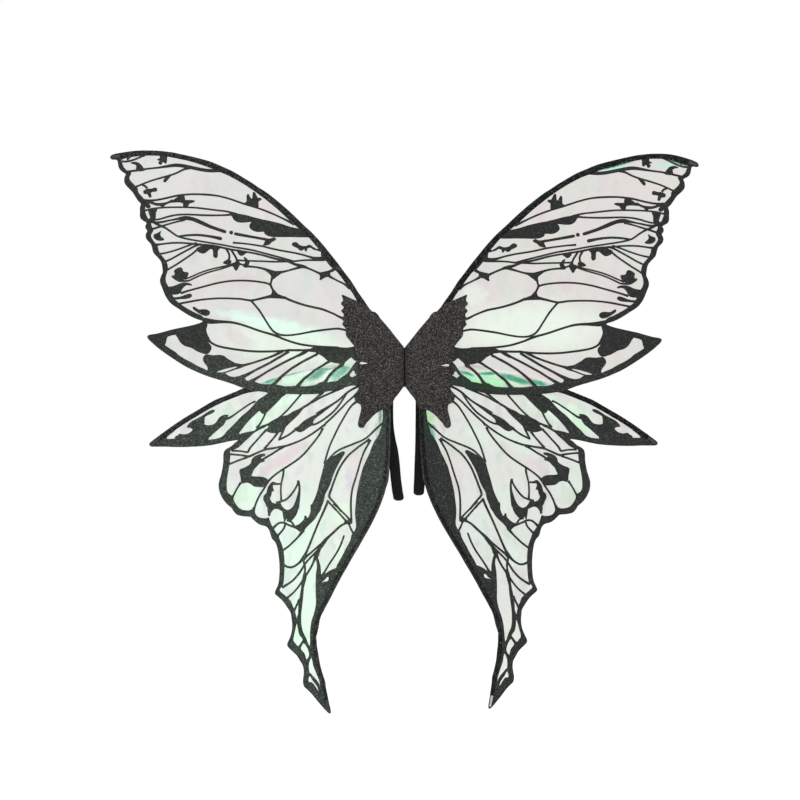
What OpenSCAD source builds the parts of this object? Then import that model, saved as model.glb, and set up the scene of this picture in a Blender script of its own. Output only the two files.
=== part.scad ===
// Fairy wings: a pair of butterfly costume wings worn on the back with two elastic straps.
// Millimetres. Z is up, the printed face looks toward -Y and the wearer stands on the +Y side.
// Each wing is drawn flat as [out from the middle, up] and then swung about the upright fold line.

/* [Wings] */
// Angle each wing is swung away from the wearer at rest
rest_sweep = 5; // [0:0.5:15]
// Thickness of the clear film
film_thickness = 0.3; // [0.1:0.05:0.6]
// Thickness of the printed glitter layer
print_thickness = 0.3; // [0.1:0.05:0.6]
// How far the printed ink spreads past each drawn line
ink_spread = 0.15; // [0.02:0.01:0.3]
// How far the lower right wing leans outward compared with the left one
right_lean = 0.023; // [0:0.001:0.05]
// Size of the lower right wing compared with the left one
right_size = 0.985; // [0.95:0.005:1.05]
// How far the end of the right tail turns outward, for each millimetre below its bend
tail_turn = 0.04; // [0:0.005:0.1]
// How far the upper right wing droops, for each millimetre outward
upper_droop = 0.013; // [0:0.001:0.03]
// How much lower the slit in the right felt cover sits
slit_drop = 3.2; // [0:0.2:6]

/* [Wires] */
// Thickness of the spring wire along the stiffened edges
wire_size = 1.6; // [1:0.1:3]
// Width of the binding tape over the edge wires
binding_width = 7.6; // [5:0.2:12]
// Width of the narrower binding tape in the tail
tail_binding_width = 5; // [4:0.2:8]
// Thickness of the binding tape
tape_thickness = 0.3; // [0.2:0.05:0.8]

/* [Root] */
// Thickness of the felt behind the wing roots
backing_thickness = 1.6; // [1:0.1:4]
// Thickness of the glitter felt cover in front of the wing roots
cover_thickness = 2.4; // [1.5:0.1:5]
// Thickness of the stiff back panel
panel_thickness = 2.4; // [1.5:0.1:5]
// Running gap between the back panel and the felt of the wings
fold_gap = 0.4; // [0.2:0.1:1]

/* [Straps] */
// Width of the elastic straps
strap_width = 16; // [10:0.5:25]
// Thickness of the elastic straps
strap_thickness = 1.6; // [1:0.1:3]

/* [Hidden] */
$fn = 32;

// Layers of one wing, each a distance forward from the back of its felt backing.
binding_depth = wire_size + tape_thickness;
lower_film_at = backing_thickness;
lower_print_at = lower_film_at + film_thickness;
lower_wire_at = lower_print_at + print_thickness;
upper_film_at = lower_wire_at + binding_depth;
upper_print_at = upper_film_at + film_thickness;
upper_wire_at = upper_print_at + print_thickness;
cover_at = upper_wire_at + binding_depth;
wing_depth = cover_at + cover_thickness;
wing_back_y = -panel_thickness - fold_gap;
fold_y = wing_back_y - wing_depth;

black = [0.09, 0.09, 0.10];
felt = [0.21, 0.19, 0.18];
glitter = [0.16, 0.18, 0.16];
clear_film = [0.88, 0.93, 0.90, 0.55];
steel = [0.62, 0.64, 0.66];

// Outline of the upper wing, [out from the middle, up], going out along the wire first.
UPPER_EDGE = [
  [24, 44], [34, 62], [42, 76], [50, 86], [60, 101], [70, 115], [80, 131], [90, 144], [100, 157.5],
  [110, 170], [120, 182.5], [130, 194], [140, 204.5], [150, 213.5], [160, 223], [170, 232.5],
  [180, 241.5], [190, 250], [200, 258], [210, 265.5], [220, 271.6], [230, 278.5], [240, 284.5],
  [250, 290.5], [260, 296], [270, 300.4], [280, 304.8], [290, 308.8], [300, 311.8], [310, 314.4],
  [325, 318], [340, 321], [355, 323.4], [370, 325], [385, 325.5], [400, 325], [412, 323.6],
  [424, 321.6], [430, 320.6], [435, 319.4], [439, 317.8], [441, 315], [440, 312.2], [437, 310.8],
  [431, 310.4], [429.5, 305], [428.5, 300], [426, 295.5], [421, 291.6], [418, 289.5], [419.6, 285.6],
  [420.3, 281], [419.5, 276], [416, 271], [410, 265], [407, 261.5], [403, 255], [399, 249],
  [395.5, 245.5], [397, 240], [396.8, 234], [397, 228], [395.5, 223], [391, 219.6], [387, 217],
  [388.8, 213], [388.4, 208.6], [386, 205], [388, 200.6], [388.4, 196], [386, 191], [380.6, 185.4],
  [378.4, 178], [376.6, 172], [372, 167], [367, 161.4], [364.6, 156.5], [363.4, 149.6], [363, 143],
  [365.4, 137.6], [367, 132], [366.4, 126.4], [364.2, 121], [362, 115], [359, 108], [354.4, 100.6],
  [349, 95], [340, 89], [330, 82.4], [320, 76.6], [311, 72.8], [303, 70], [310, 66.6], [322, 63.4],
  [335, 60.6], [350, 57.4], [362, 54], [373, 51.2], [383, 49.6], [386, 47], [384, 42.6], [378, 36.8],
  [370, 30], [360, 22.4], [348, 14.2], [336, 6.4], [325, 0], [312, -6], [300, -11], [285, -16],
  [270, -20.4], [256, -25], [243, -30], [225, -34], [205, -36.6], [180, -38], [150, -38.4], [125, -37],
  [108, -33], [92, -28.4], [78, -26], [62, -23], [42, -18], [28, -8], [22, 6], [19, 24]
];

// Inner side of the dark border band of the upper wing.
UPPER_CLEAR = [
  [428, 308.6], [424, 307.6], [421, 300], [416, 295], [411, 293], [410, 290], [412.6, 285], [411, 280],
  [403, 271.4], [400, 268], [399, 262], [390, 252], [389, 246], [389, 240], [388.6, 232], [384, 222],
  [380, 219], [380, 214], [377, 207], [378, 203], [380.6, 197], [375, 188], [371, 184], [369, 176],
  [366, 170], [360, 163], [356.6, 157], [355, 150], [356, 144], [358, 138], [358.6, 132], [357, 126],
  [352, 118], [349, 110], [345, 103], [340, 98.6], [332, 92.6], [322, 86.6], [312, 81.6], [304, 78],
  [300, 70], [302, 62], [320, 57], [335, 52.6], [343.5, 50], [350, 48.6], [355.6, 46.6], [357, 43],
  [358, 38], [359.6, 34.4], [357, 32.2], [350, 27.6], [344, 24], [340, 20], [330, 13.4], [320, 8.4],
  [312, 3.4], [305, 0.4], [296, -4], [290, -10], [262, -18], [240, -24], [200, -32], [150, -33],
  [120, -30], [100, -26], [78, -20], [66, -14], [58, 0], [58, 60], [66, 94], [71, 101], [78, 112.6],
  [86, 124], [93, 134.4], [100, 143.6], [107.4, 149.6], [112, 153.6], [118, 161], [125.4, 168],
  [126, 176], [133, 183.4], [143, 195.4], [160, 210.6], [172, 220.6], [190, 237.6], [210, 254],
  [230, 268.6], [250, 281], [270, 291.4], [283, 297], [300, 303.6], [310, 307.2], [330, 312.8],
  [350, 316.4], [365, 318], [380, 318.4], [400, 316.6], [411, 314.8], [420, 312.6]
];

// Printed lines of the upper wing, each [out, up, width] along one line.
UPPER_VEINS = [
  [ [430, 309, 3], [418, 308.2, 2.8], [408, 310.4, 2.8], [399, 314, 2.6], [388, 319, 3]],
  [ [416, 311, 3], [411, 316, 3], [406, 320, 3]],
  [ [417, 293, 3], [400, 295.5, 3], [385, 298, 2.6], [368, 300, 2.8], [350, 303, 4.6],
    [338, 303.4, 5.2], [322, 300.5, 5], [305, 297, 5], [290, 295.5, 5], [274, 297, 6]],
  [ [408, 269, 3], [400, 272, 2.6], [390, 276.3, 2.4], [378, 280.8, 2.4], [364, 285, 2.6],
    [350, 289, 2.6], [340, 293, 2.6], [331, 297.5, 3], [322, 299.5, 4]],
  [ [351, 289, 2.8], [355, 285.6, 4.6], [358.6, 281.6, 5], [360.8, 278.4, 3.6]],
  [ [393.6, 273.8, 2.8], [389.4, 272.2, 3], [386, 268.6, 3.4]],
  [ [391.6, 263, 4], [388, 263.4, 7], [383, 264.6, 7.2], [378.8, 265.8, 4.8], [374.8, 266.6, 6.2],
    [371.4, 267, 4.2]],
  [ [386, 267.6, 4], [384.6, 264, 6], [382.6, 259.6, 5], [381, 255.2, 3.4]],
  [ [396, 251, 5], [385, 250.2, 3.6], [372, 251.2, 2.8], [355, 254.8, 2.8], [340, 258.3, 2.8],
    [320, 260.2, 2.6], [300, 259.8, 2.9], [280, 258, 2.6], [260, 252.8, 2.6], [240, 246, 2.6],
    [220, 240, 2.6], [200, 232.4, 2.6], [184, 225, 2.6], [166, 216, 4]],
  [ [391, 249.5, 4], [380, 247.2, 3.6], [372, 244.8, 4], [363, 245, 4.2], [355, 247.4, 3], [348, 251, 4]],
  [ [394, 234.5, 3], [384, 236.6, 2.4], [372, 239, 2.4], [355, 240.3, 2.4], [335, 240.6, 2.4],
    [316, 240.2, 2.4], [300, 238.6, 2.6], [280, 236.2, 2.4], [266, 234.6, 2.6], [252, 230.4, 4]],
  [ [384, 222, 3], [370, 222, 2.4], [355, 226.3, 2.6], [342, 229, 2.6], [325, 229.9, 2.4],
    [305, 229, 2.8], [285, 228.8, 2.6], [268, 229.4, 2.6], [256, 231, 4]],
  [ [382, 219, 3.4], [370, 217.4, 3.4], [356, 220, 2.6], [342, 222.8, 3], [330, 224.6, 6],
    [318, 223, 5.6], [305, 217.6, 5.8], [292, 212, 4.8], [280, 207.8, 4.6], [271, 204.8, 4.6],
    [268, 204, 3]],
  [ [385, 205, 4], [376, 208.4, 3], [366, 211.6, 3], [354, 215.2, 2.4], [341, 219, 2.4], [330, 221.5, 3]],
  [ [376, 217, 3], [368, 213.5, 3.4], [360, 210, 3], [351, 204.2, 2.6], [342, 197.8, 2.6],
    [330, 194, 2.6], [315, 191.2, 2.4], [295, 188.2, 2.4], [275, 185, 2.4], [258, 181.6, 2.4]],
  [ [340, 196.6, 2.6], [328, 198.4, 3], [312, 199.3, 3.2], [298, 198.2, 3.4], [286, 196.2, 4],
    [277, 194.2, 5], [274.4, 193.6, 3]],
  [ [256, 201.8, 3], [253, 201, 4.4], [240, 198.6, 4], [225, 196, 3.6], [211, 193.4, 3.6], [199, 192, 3]],
  [ [258, 188, 3], [244, 187, 2.4], [228, 185, 2.4], [212, 182.4, 2.6]],
  [ [378, 183.5, 5], [366, 185, 2.6], [350, 187, 2.6], [334, 187.2, 2.6], [318, 186, 2.6],
    [302, 184.4, 3.4], [288, 183, 4], [275, 180.8, 3], [262, 178, 3]],
  [ [258, 181.6, 2.4], [245, 179.6, 2.6], [230, 177, 2.6], [215, 173.4, 2.4], [200, 169.4, 2.6],
    [185, 165.6, 2.6], [176, 163, 2.8], [167, 160.2, 3.2]],
  [ [262, 178, 3], [248, 175.8, 2.6], [232, 173.2, 2.6], [215, 169.8, 2.8], [200, 165.6, 3],
    [188, 162.8, 3.2], [176, 160.4, 3.2], [166, 156.4, 3.6], [156, 153.6, 5], [148, 151.6, 4]],
  [ [212, 182.4, 2.6], [200, 179.4, 2.6], [185, 176.4, 2.6], [168, 173.6, 2.6], [155, 170.8, 2.6],
    [145, 168, 2.8], [136, 165.4, 4], [126, 165.2, 4.6], [116, 165.4, 6]],
  [ [268, 178.6, 3.2], [264.6, 173, 3], [263.2, 168, 2.8], [264, 163, 3], [267, 159.6, 4]],
  [ [261, 178, 3], [257, 171.6, 3], [253.6, 166, 2.8], [252, 161, 3.4], [252, 156, 6]],
  [ [252, 161.6, 3], [243, 161.2, 2.4], [228, 160.6, 2.4], [212, 160.2, 2.4], [195, 159.6, 2.6],
    [180, 160.2, 2.8], [168, 160.3, 2.8], [158, 161.6, 2.4], [145, 162.4, 2.6], [132, 162.4, 3],
    [122, 163.4, 4.6], [114, 165, 5]],
  [ [251, 157, 3], [244, 155, 2.6], [236, 152.6, 3], [225, 151.6, 2.6], [215, 149.8, 3],
    [206, 146.8, 4], [196, 143, 6]],
  [ [191, 143.2, 5], [180, 145.2, 2.8], [170, 148, 2.8], [160, 150.8, 3.6], [152, 152.2, 3.6],
    [145, 150, 3], [136, 146.2, 2.8], [127, 142, 3.4]],
  [ [199.6, 135, 3.4], [200.4, 130, 2.8], [201.6, 126.4, 3], [200.4, 122, 3], [198, 117.4, 3.2],
    [195, 112, 5]],
  [ [349, 138, 3], [340, 131, 3], [326, 130.4, 2.6], [318, 133.6, 2.4], [305, 139.6, 2.2],
    [292, 144.2, 2.2], [280, 147.4, 2.2], [268, 151, 2.2], [258, 155, 3]],
  [ [330, 133, 2.4], [320, 136.8, 2.2], [308, 142.2, 2.2], [295, 146.8, 2.2], [280, 150.6, 2.2],
    [268, 153.2, 2.2], [258, 156.4, 3]],
  [ [336, 112, 3.6], [325, 115.6, 2.8], [312, 119.2, 2.6], [300, 122.4, 2.6], [285, 126.4, 2.6],
    [270, 129.4, 2.6], [255, 131, 2.6], [240, 131.2, 2.6], [225, 130.2, 2.6], [212, 128.4, 2.6],
    [204, 126.2, 2.8], [200, 123, 3]],
  [ [340, 96, 3], [325, 98.8, 2.8], [310, 101.6, 2.8], [295, 103.4, 2.6], [278, 104.4, 2.6],
    [260, 104.2, 2.6], [245, 103.4, 2.8], [232, 101.4, 3], [222, 103, 3], [212, 105.4, 3.4],
    [202, 107.6, 4.6]],
  [ [231, 101.4, 3], [225, 94.6, 2.8], [218, 86, 2.8], [212, 76.6, 2.6], [206, 67, 2.6],
    [201, 59.4, 2.8], [195, 53.4, 3], [187, 50, 3], [178, 49.2, 2.6], [168, 49.8, 2.6],
    [155, 51.8, 2.6], [140, 54.8, 2.8], [125, 57, 3], [110, 58.8, 2.8], [99, 59.4, 3], [88, 57, 3]],
  [ [306, 73.4, 6], [296, 70.4, 8], [285, 69.4, 6], [272, 69.2, 4], [258, 68.2, 3.4], [245, 65, 3],
    [230, 60, 3], [215, 54.8, 3], [202, 51.2, 3.2], [192, 48, 3.6], [182, 43.6, 3], [170, 39.4, 3],
    [158, 36, 3], [144, 33.8, 3], [130, 32.4, 3], [115, 31.4, 3.4], [100, 30.6, 4]],
  [ [182, 106.6, 4], [172, 102, 3.2], [160, 97.6, 3.2], [148, 94, 3], [136, 91.2, 3], [125, 88.9, 3.2],
    [114, 84.8, 2.8], [104, 80.4, 2.8], [96, 76.2, 3.4], [88, 74, 4]],
  [ [367, 170.5, 3], [357, 172.4, 2.4], [345, 175.8, 2.4], [332, 180.4, 2.4], [320, 185, 2.6],
    [312, 187, 3]],
  [ [362, 158, 3], [350, 163.2, 2.6], [338, 170, 2.6], [326, 176.6, 2.6], [314, 183, 3], [306, 185.4, 3]],
  [ [362, 143, 3], [352, 149.2, 2.6], [342, 155.2, 2.6], [330, 163.2, 2.6], [318, 171.6, 2.6],
    [308, 180, 3.2], [300, 183.4, 3]],
  [ [352, 104, 3.6], [343, 104.2, 3.4], [335, 105.2, 4], [328.6, 106.6, 6], [323, 108.2, 6.4],
    [319.6, 109.2, 3.6]],
  [ [113, 138, 4], [106, 134.2, 2.6], [98, 130.2, 2.6], [90, 126.2, 3], [82, 120, 5]],
  [ [296, 44, 5], [291.6, 38.8, 3.2], [286, 35.2, 3], [278, 32.2, 3], [265, 29.6, 3], [250, 27.4, 3],
    [235, 25.6, 3], [220, 24.8, 3], [205, 24.8, 3], [190, 25.4, 3], [175, 26.6, 3], [160, 27, 3],
    [145, 26.4, 3], [130, 25, 4], [115, 23, 6]],
  [ [252, 3, 5], [243, 4, 4], [233, 6.4, 3], [220, 10.4, 3], [207, 14.8, 3], [197, 18.6, 3.4],
    [190, 22, 4], [182, 25.4, 3]],
  [ [282, -8, 3], [272, -7.4, 2], [262, -4, 2], [254, -1, 2.2], [247, 1.2, 3], [240, 4.4, 3]],
  [ [252, -18, 8], [243, -13, 6], [234, -8.6, 4.4], [225, -3.6, 3.4], [214, 2, 3.4], [203, 7.6, 3.4],
    [193, 13.6, 3.6], [184, 18.8, 3.6], [174, 25, 4]],
  [ [236, -24, 8], [226, -17.4, 4.6], [215, -10.8, 3.2], [205, -4.4, 3.2], [195, 1, 3.2],
    [184, 7, 3.2], [173, 12.6, 3.2], [162, 18, 3.2], [154, 22.6, 3.4], [148, 27, 3]],
  [ [200, -28, 6], [192, -20, 4.6], [186, -13.6, 4.2], [178, -6.8, 3.6], [170, -0.6, 3.4],
    [161, 5, 3.4], [152, 10.4, 3.4], [143, 15, 3.6]],
  [ [162, -29, 6], [156, -21.4, 4.4], [150, -15, 3.8], [144, -10.4, 3.6]],
  [ [176, 27, 3.4], [160, 26.6, 3], [150, 27, 3], [141, 27.4, 3], [134, 26.4, 4]],
  [ [160, 18.4, 3.4], [152, 22, 3.4], [146, 25.6, 3]],
  [ [146, 13.4, 3.6], [138, 17.6, 3.2], [131, 21.2, 4]],
  [ [148, -14.4, 3.6], [142, -9, 3.2], [136, -4, 3.2], [130, 0, 3], [123, 4, 3.2], [117, 8, 3.6],
    [112, 10.6, 4]],
  [ [121, -24, 8], [117.6, -18.4, 4.4], [114, -12.6, 4], [110, -8, 4], [105, -3, 3.8], [99, 1.6, 3.8],
    [94, 5.4, 6]],
  [ [98, -20, 6], [89, -13, 4.6], [84, -8.6, 4], [80.4, -4, 4], [77.4, 0.6, 4], [74, 5, 4.6], [70, 9, 5]],
];

// Printed patches of the upper wing, each one closed outline.
UPPER_SPOTS = [
  [ [411, 306], [406, 308.2], [398, 306.6], [392.6, 300.6], [390, 295], [401, 294], [402.8, 298],
    [401.8, 301.6], [405, 304.4]],
  [ [367, 320], [356, 320], [356.4, 314.4], [357, 307], [359.4, 306.4], [362.6, 308.6], [364.6, 304.6],
    [367, 304.4], [369.6, 307], [367.4, 310], [371.6, 311.6], [367, 314.4]],
  [ [242, 246.5], [237.4, 250], [237.4, 259], [234.6, 261.4], [232, 256.4], [229, 254.4], [228, 263.6],
    [224.6, 263.4], [221, 256], [216.6, 255.6], [215, 253], [219.6, 250], [219.4, 246], [221, 239.6],
    [231, 242.4]],
  [ [355, 247.2], [348, 251.2], [341, 256], [340, 259], [330.6, 259], [329.6, 251.8], [322, 251.6],
    [315, 250.6], [317, 248], [323, 246], [326.4, 240.4], [332, 240], [332.8, 246.4], [340.4, 248]],
  [ [390, 247], [384, 246], [380.6, 241], [385, 238.6], [389.6, 242.6]],
  [ [367, 243], [363, 240.4], [359, 244.4], [363, 246]],
  [ [384, 238], [371, 239.4], [373, 232], [373.4, 224], [377, 218], [382, 222], [381.6, 226], [383, 230]],
  [ [365.4, 205], [370.6, 201.8], [375.6, 200], [376.6, 196], [373.8, 192.4], [369, 190.4],
    [363, 190.6], [360.4, 192.4], [363.6, 195.2], [366.2, 198.4], [366.2, 201.6]],
  [ [263.4, 203.2], [262.6, 205.2], [260.6, 206], [258.6, 205.2], [257.8, 203.2], [258.6, 201.2],
    [260.6, 200.4], [262.6, 201.2]],
  [ [263, 233.5], [250, 231.5], [238, 229.4], [226, 226], [212, 222.4], [222, 220.2], [234, 219],
    [244, 218.2], [251, 219], [256, 222], [258.6, 226]],
  [ [226, 222], [212, 222.6], [198, 219.8], [186, 216.8], [172, 212.2], [158, 209.4], [146, 208],
    [140, 198], [152, 196.6], [170, 197], [186, 196.8], [197, 196.8], [205, 198.2], [210.4, 201.4],
    [211.6, 204.6], [220, 204.2], [227, 205.8], [231.8, 209.2], [233.4, 213], [231.4, 217.6]],
  [ [212, 196], [210, 190], [213, 184], [204, 185], [200, 189], [193, 193], [197, 196.4], [204, 193.4]],
  [ [252, 178], [245, 176.6], [236, 174.4], [240, 171], [245, 168], [249.4, 170.6], [251.6, 174.6]],
  [ [242, 166.6], [238, 165], [235, 161], [233, 158.4], [234.6, 154.4], [232.6, 151.4], [241, 150.8],
    [243, 154.4], [240, 157.6], [240.4, 162]],
  [ [273, 157.6], [268, 162], [261.4, 162], [260.4, 158], [264, 155.6], [269, 155.6]],
  [ [263, 155], [257, 158], [250.6, 160], [247.4, 158], [247.6, 154.6], [250, 150], [253, 145.8],
    [256, 148.4], [257.6, 152]],
  [ [312, 180], [311.6, 176], [307.6, 172.6], [301, 171.6], [295.4, 175.6], [291.4, 178.4],
    [287.8, 176.6], [287.4, 168.4], [285.4, 165.4], [282, 165.4], [280.6, 169], [280.4, 176],
    [276, 181.4], [284, 183.6], [298, 184.4]],
  [ [213, 149.6], [205, 148], [197, 146.2], [190, 145.4], [183, 145.4], [187, 141], [193, 136.8],
    [198.6, 132.4], [200.4, 134.8], [201.2, 139], [204, 142], [208, 145]],
  [ [211, 106], [204, 108.6], [200, 112], [199, 117], [195, 116.6], [191, 111.6], [185, 109.2],
    [177, 105.4], [171, 101.6], [180, 103.6], [190, 104.6], [201, 105]],
  [ [127.6, 143.6], [120, 145.4], [112, 147.6], [106, 152], [102, 150], [107, 145.4], [111, 144],
    [112, 141], [110.6, 137.6], [117, 137], [122, 135], [126, 132.4], [128, 133.4], [127, 137.4],
    [128, 140]],
  [ [120, 183], [132, 179], [142, 185.4], [147, 184], [152, 183.4], [158, 185], [163, 189.4],
    [168.8, 188], [168.8, 184], [161, 180.2], [158, 177.2], [154, 176.8], [150.8, 179], [149.6, 176],
    [147, 176], [146, 180], [141, 181], [138, 178.6], [131, 176.6], [120, 174]],
  [ [340, 150], [335.4, 150.6], [333, 147.6], [331.6, 144], [324.4, 142.8], [326.8, 135.4],
    [333, 131.4], [337, 128.4], [342, 131.6], [347.6, 135], [344.8, 141], [346, 145.6]],
  [ [366, 124.6], [354, 121.6], [345, 123.2], [339, 125.8], [333, 127.8], [325, 127.6], [319.6, 125.4],
    [320, 123.4], [326, 124.2], [330, 122.4], [334, 118], [337, 112], [343, 110], [350, 109.4],
    [351, 104], [357, 102], [364, 112]],
  [ [317.4, 92], [317.6, 88.4], [313, 84.6], [307, 80.8], [300, 78.2], [295.4, 78.6], [292.6, 81.6],
    [293, 85], [297, 87.6], [303, 88], [309, 87.6], [313, 90]],
  [ [304, 72], [320, 64], [340, 56], [344, 50.4], [341, 46], [338.4, 41], [335, 36.6], [330, 33],
    [325, 31.4], [320, 30], [315, 27], [310, 24.2], [305, 22.4], [300, 20.8], [295, 21.4], [291.4, 26],
    [290, 30], [291.4, 34.6], [294.4, 38], [293, 44], [296, 50], [298, 58], [296, 66]],
  [ [297, 20.4], [288, 19], [278, 19.6], [271, 18], [266, 14], [260, 10.6], [254, 7.4], [246, 6],
    [246, 2.6], [254, 2], [264, 0], [273, -2.4], [281.6, -5.6], [280, -8], [268, -8.6], [268, -16],
    [290, -12], [298, -6], [295.4, -2], [297, 3], [301, 8], [303, 13], [301, 18]],
  [ [144, 27.6], [138, 26.6], [134, 24.4], [132, 21.6], [128, 20.4], [123, 17.4], [118, 13],
    [115, 10.8], [110, 9], [104, 7.4], [99, 6.8], [96.4, 5], [92, 3], [90.4, 6.6], [88.6, 9.4],
    [86, 11.4], [83, 14.2], [80, 16], [77.6, 13.8], [75.4, 12], [73, 11], [60, 14], [60, 34],
    [76, 32.6], [84, 31], [92, 31], [100, 31.8], [110, 32.4], [120, 32.4], [132, 33.4]],
  [ [80, 0], [75, -5], [74.6, -8], [71.6, -9.8], [75.6, -12.2], [79, -14], [82, -11.4], [84, -10.6],
    [92, -17], [110, -20.6], [117.6, -22], [121, -20.6], [128, -22], [134, -25.4], [143, -27],
    [152, -27.6], [164, -27], [180, -27.6], [188, -25.6], [200, -24.6], [212, -24.4], [222, -22],
    [228, -19.4], [238, -18.6], [240, -14], [246, -11.6], [256, -13.4], [264, -12], [270, -8],
    [280, -8], [290, -10], [290, -20], [250, -34], [200, -40], [150, -40], [116, -36], [100, -31],
    [90, -27], [78, -26], [66, -29], [60, -20], [60, 0], [70, 9]],
];

// Outline of the lower wing with its long tail.
LOWER_EDGE = [
  [24, -26], [40, -14], [60, -8], [76, -2], [84, 2], [95, 5], [108, 5.4], [118, 3], [130, -1],
  [140, -5], [150, -7], [160, -7.6], [170, -9.4], [180, -11.6], [195, -15.4], [205, -18], [215, -21],
  [228, -25], [243, -30.4], [255, -36], [270, -42], [285, -48], [300, -56.6], [315, -65.6],
  [330, -74.4], [345, -84.4], [360, -95], [370, -102.6], [380, -110], [383, -113.6], [382, -116.6],
  [378, -118], [360, -118], [345, -118.6], [330, -118.6], [315, -118], [300, -117], [288, -115.4],
  [275, -112.6], [262, -109.8], [252, -108.4], [251, -109.4], [255, -112], [260, -117], [267, -121],
  [271, -125], [272.4, -131], [272.4, -140], [273.4, -148], [275, -157], [277, -164], [279, -171],
  [279.4, -178], [278, -186], [275, -193], [270.6, -200], [265, -206], [260, -210], [257.6, -214],
  [253, -219.6], [248, -221.6], [240, -223], [232, -223.6], [229, -226], [224, -231], [217, -235.6],
  [210, -237.4], [206, -240], [203, -245], [201, -252], [199, -257], [195, -261], [192, -268],
  [190.5, -275], [189, -285], [188, -300], [188.5, -315], [190, -325], [193, -332], [195, -337.5],
  [194, -340.5], [190, -344], [185, -348.5], [180, -354.5], [174, -363.5], [171, -369], [170, -376],
  [169, -385], [169.5, -395], [171, -401], [174, -409], [176, -413], [176.4, -417], [174, -421],
  [168, -426.5], [162, -432.5], [158, -439], [154, -445.5], [152.4, -450], [151.6, -457],
  [152.4, -465], [153, -471], [152, -477], [150, -480.5], [144, -486], [138, -492.5], [132, -500],
  [126, -507], [120, -514], [115, -519], [112, -520.5], [110.5, -519], [111, -513], [112.5, -507],
  [114, -500], [116, -490], [118, -480], [119, -472], [122, -463], [125, -453], [127, -445],
  [128.5, -436], [130, -427], [131.5, -418], [132, -410], [132.6, -405], [130.6, -397], [129, -390],
  [127.4, -380], [125, -372], [121.2, -365], [117.8, -358], [113.2, -350], [108, -340], [103, -330],
  [97.6, -320], [92.2, -310], [86.2, -300], [80.8, -290], [75, -280], [69.2, -270.5], [63.2, -260],
  [57.4, -250], [51.2, -239], [45.6, -228], [41.2, -218.6], [36.8, -209], [32.2, -197], [29.4, -189],
  [26.6, -179], [24, -171.5], [23, -165], [21.8, -150], [21.4, -135], [20.6, -120], [20.6, -100],
  [20.4, -80], [20.4, -60], [21, -45]
];

// Inner side of the dark border band of the lower wing.
LOWER_CLEAR = [
  [60, -30], [70, -27], [78, -26.2], [86, -28], [93, -30.2], [101, -32.4], [109, -34.2], [118, -35],
  [124, -37.4], [130, -38.6], [150, -39.4], [176, -38.8], [190, -38], [205, -37.4], [212, -35],
  [220, -33.8], [232, -34.6], [240, -37], [250, -41], [260, -44.6], [270, -49.6], [280, -54.6],
  [290, -59], [300, -64], [310, -69.4], [320, -75], [330, -82], [340, -89], [346, -95], [352, -99.6],
  [357, -104.6], [355, -106.4], [342, -106], [320, -108], [300, -108.4], [280, -106], [262, -106],
  [250, -107], [256, -120], [262, -124], [262.4, -138], [264, -150], [265.6, -158], [267, -168],
  [267.4, -177], [266.6, -184], [264, -188.6], [260, -191], [257, -193], [257, -197], [255, -202],
  [250, -209], [245, -212.4], [240, -213.6], [234, -214], [228, -212], [225.4, -214], [224.6, -217.6],
  [222, -222], [218, -224.6], [212, -225.6], [207, -225.6], [204.6, -224], [203, -228], [200, -236],
  [197.6, -240], [196, -243], [192, -248.6], [189.4, -252], [188, -257], [185, -264], [182.6, -272],
  [181.4, -280], [180.6, -290], [180.6, -300], [181, -310], [181.6, -320], [183, -327.6],
  [187, -331.6], [187.4, -335], [182, -340], [177, -344.4], [171, -350.6], [168, -358],
  [165.4, -363.6], [163.6, -370], [162, -377], [160.6, -371], [156.6, -378], [155, -386], [153, -396],
  [149, -404], [146.6, -410], [143, -418.6], [142, -410], [142, -398], [141, -388], [139.6, -380],
  [137, -372], [135, -365], [133.4, -357], [133, -350], [133.6, -330], [133.4, -320], [133, -310],
  [131.6, -300], [132, -293], [134, -287], [137, -281.4], [130, -286], [127.6, -293], [126, -300],
  [125.6, -308], [124.6, -312], [121, -309.6], [118, -309], [114, -306], [108, -303], [103, -301],
  [101, -296], [97, -289], [92, -280], [88, -272], [84, -265], [80.4, -257], [79.6, -252],
  [77.4, -249], [75, -245.6], [72.4, -239], [73, -230], [74, -220], [73.6, -210], [72.6, -200],
  [71.6, -190], [69.6, -180], [67.6, -170], [65, -160], [62.4, -150], [60, -145], [57, -138],
  [53, -130], [50, -122], [48, -117], [45, -110.6], [42, -106], [38.4, -100.6], [37, -96], [34.4, -88],
  [33, -80], [32, -72], [32.4, -62], [45, -50]
];

// Clear cells left open inside the dark tail.
TAIL_CLEARS = [
  [ [162, -384], [164, -392], [165.6, -400], [167, -407], [166.6, -411], [163, -415.4],
    [160.4, -418.4], [158, -416], [154.4, -411], [153, -408], [156, -404], [158.6, -400], [160, -394],
    [161, -388]],
  [ [151.6, -413.6], [148, -418], [145.4, -423], [143.4, -429], [144, -433], [145, -438], [146, -440],
    [148, -437], [150, -430], [153, -426], [156, -422], [154.6, -417]],
  [ [140.4, -436], [138.6, -440], [137.4, -447], [135.6, -452], [132, -461], [129.6, -467],
    [127.6, -473], [127, -478], [129, -477], [131, -472], [136, -466], [141, -461], [143, -458],
    [144, -450], [143.6, -444], [142, -439]],
  [ [143, -463], [144.4, -468], [144, -472], [139, -473], [135, -478], [131, -484], [129.4, -485.6],
    [131, -480], [135, -474], [139, -469], [141, -465]],
  [ [125, -323], [120, -319], [117, -315], [114, -314.6], [114, -318], [116, -321], [121, -321.6]],
];

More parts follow.
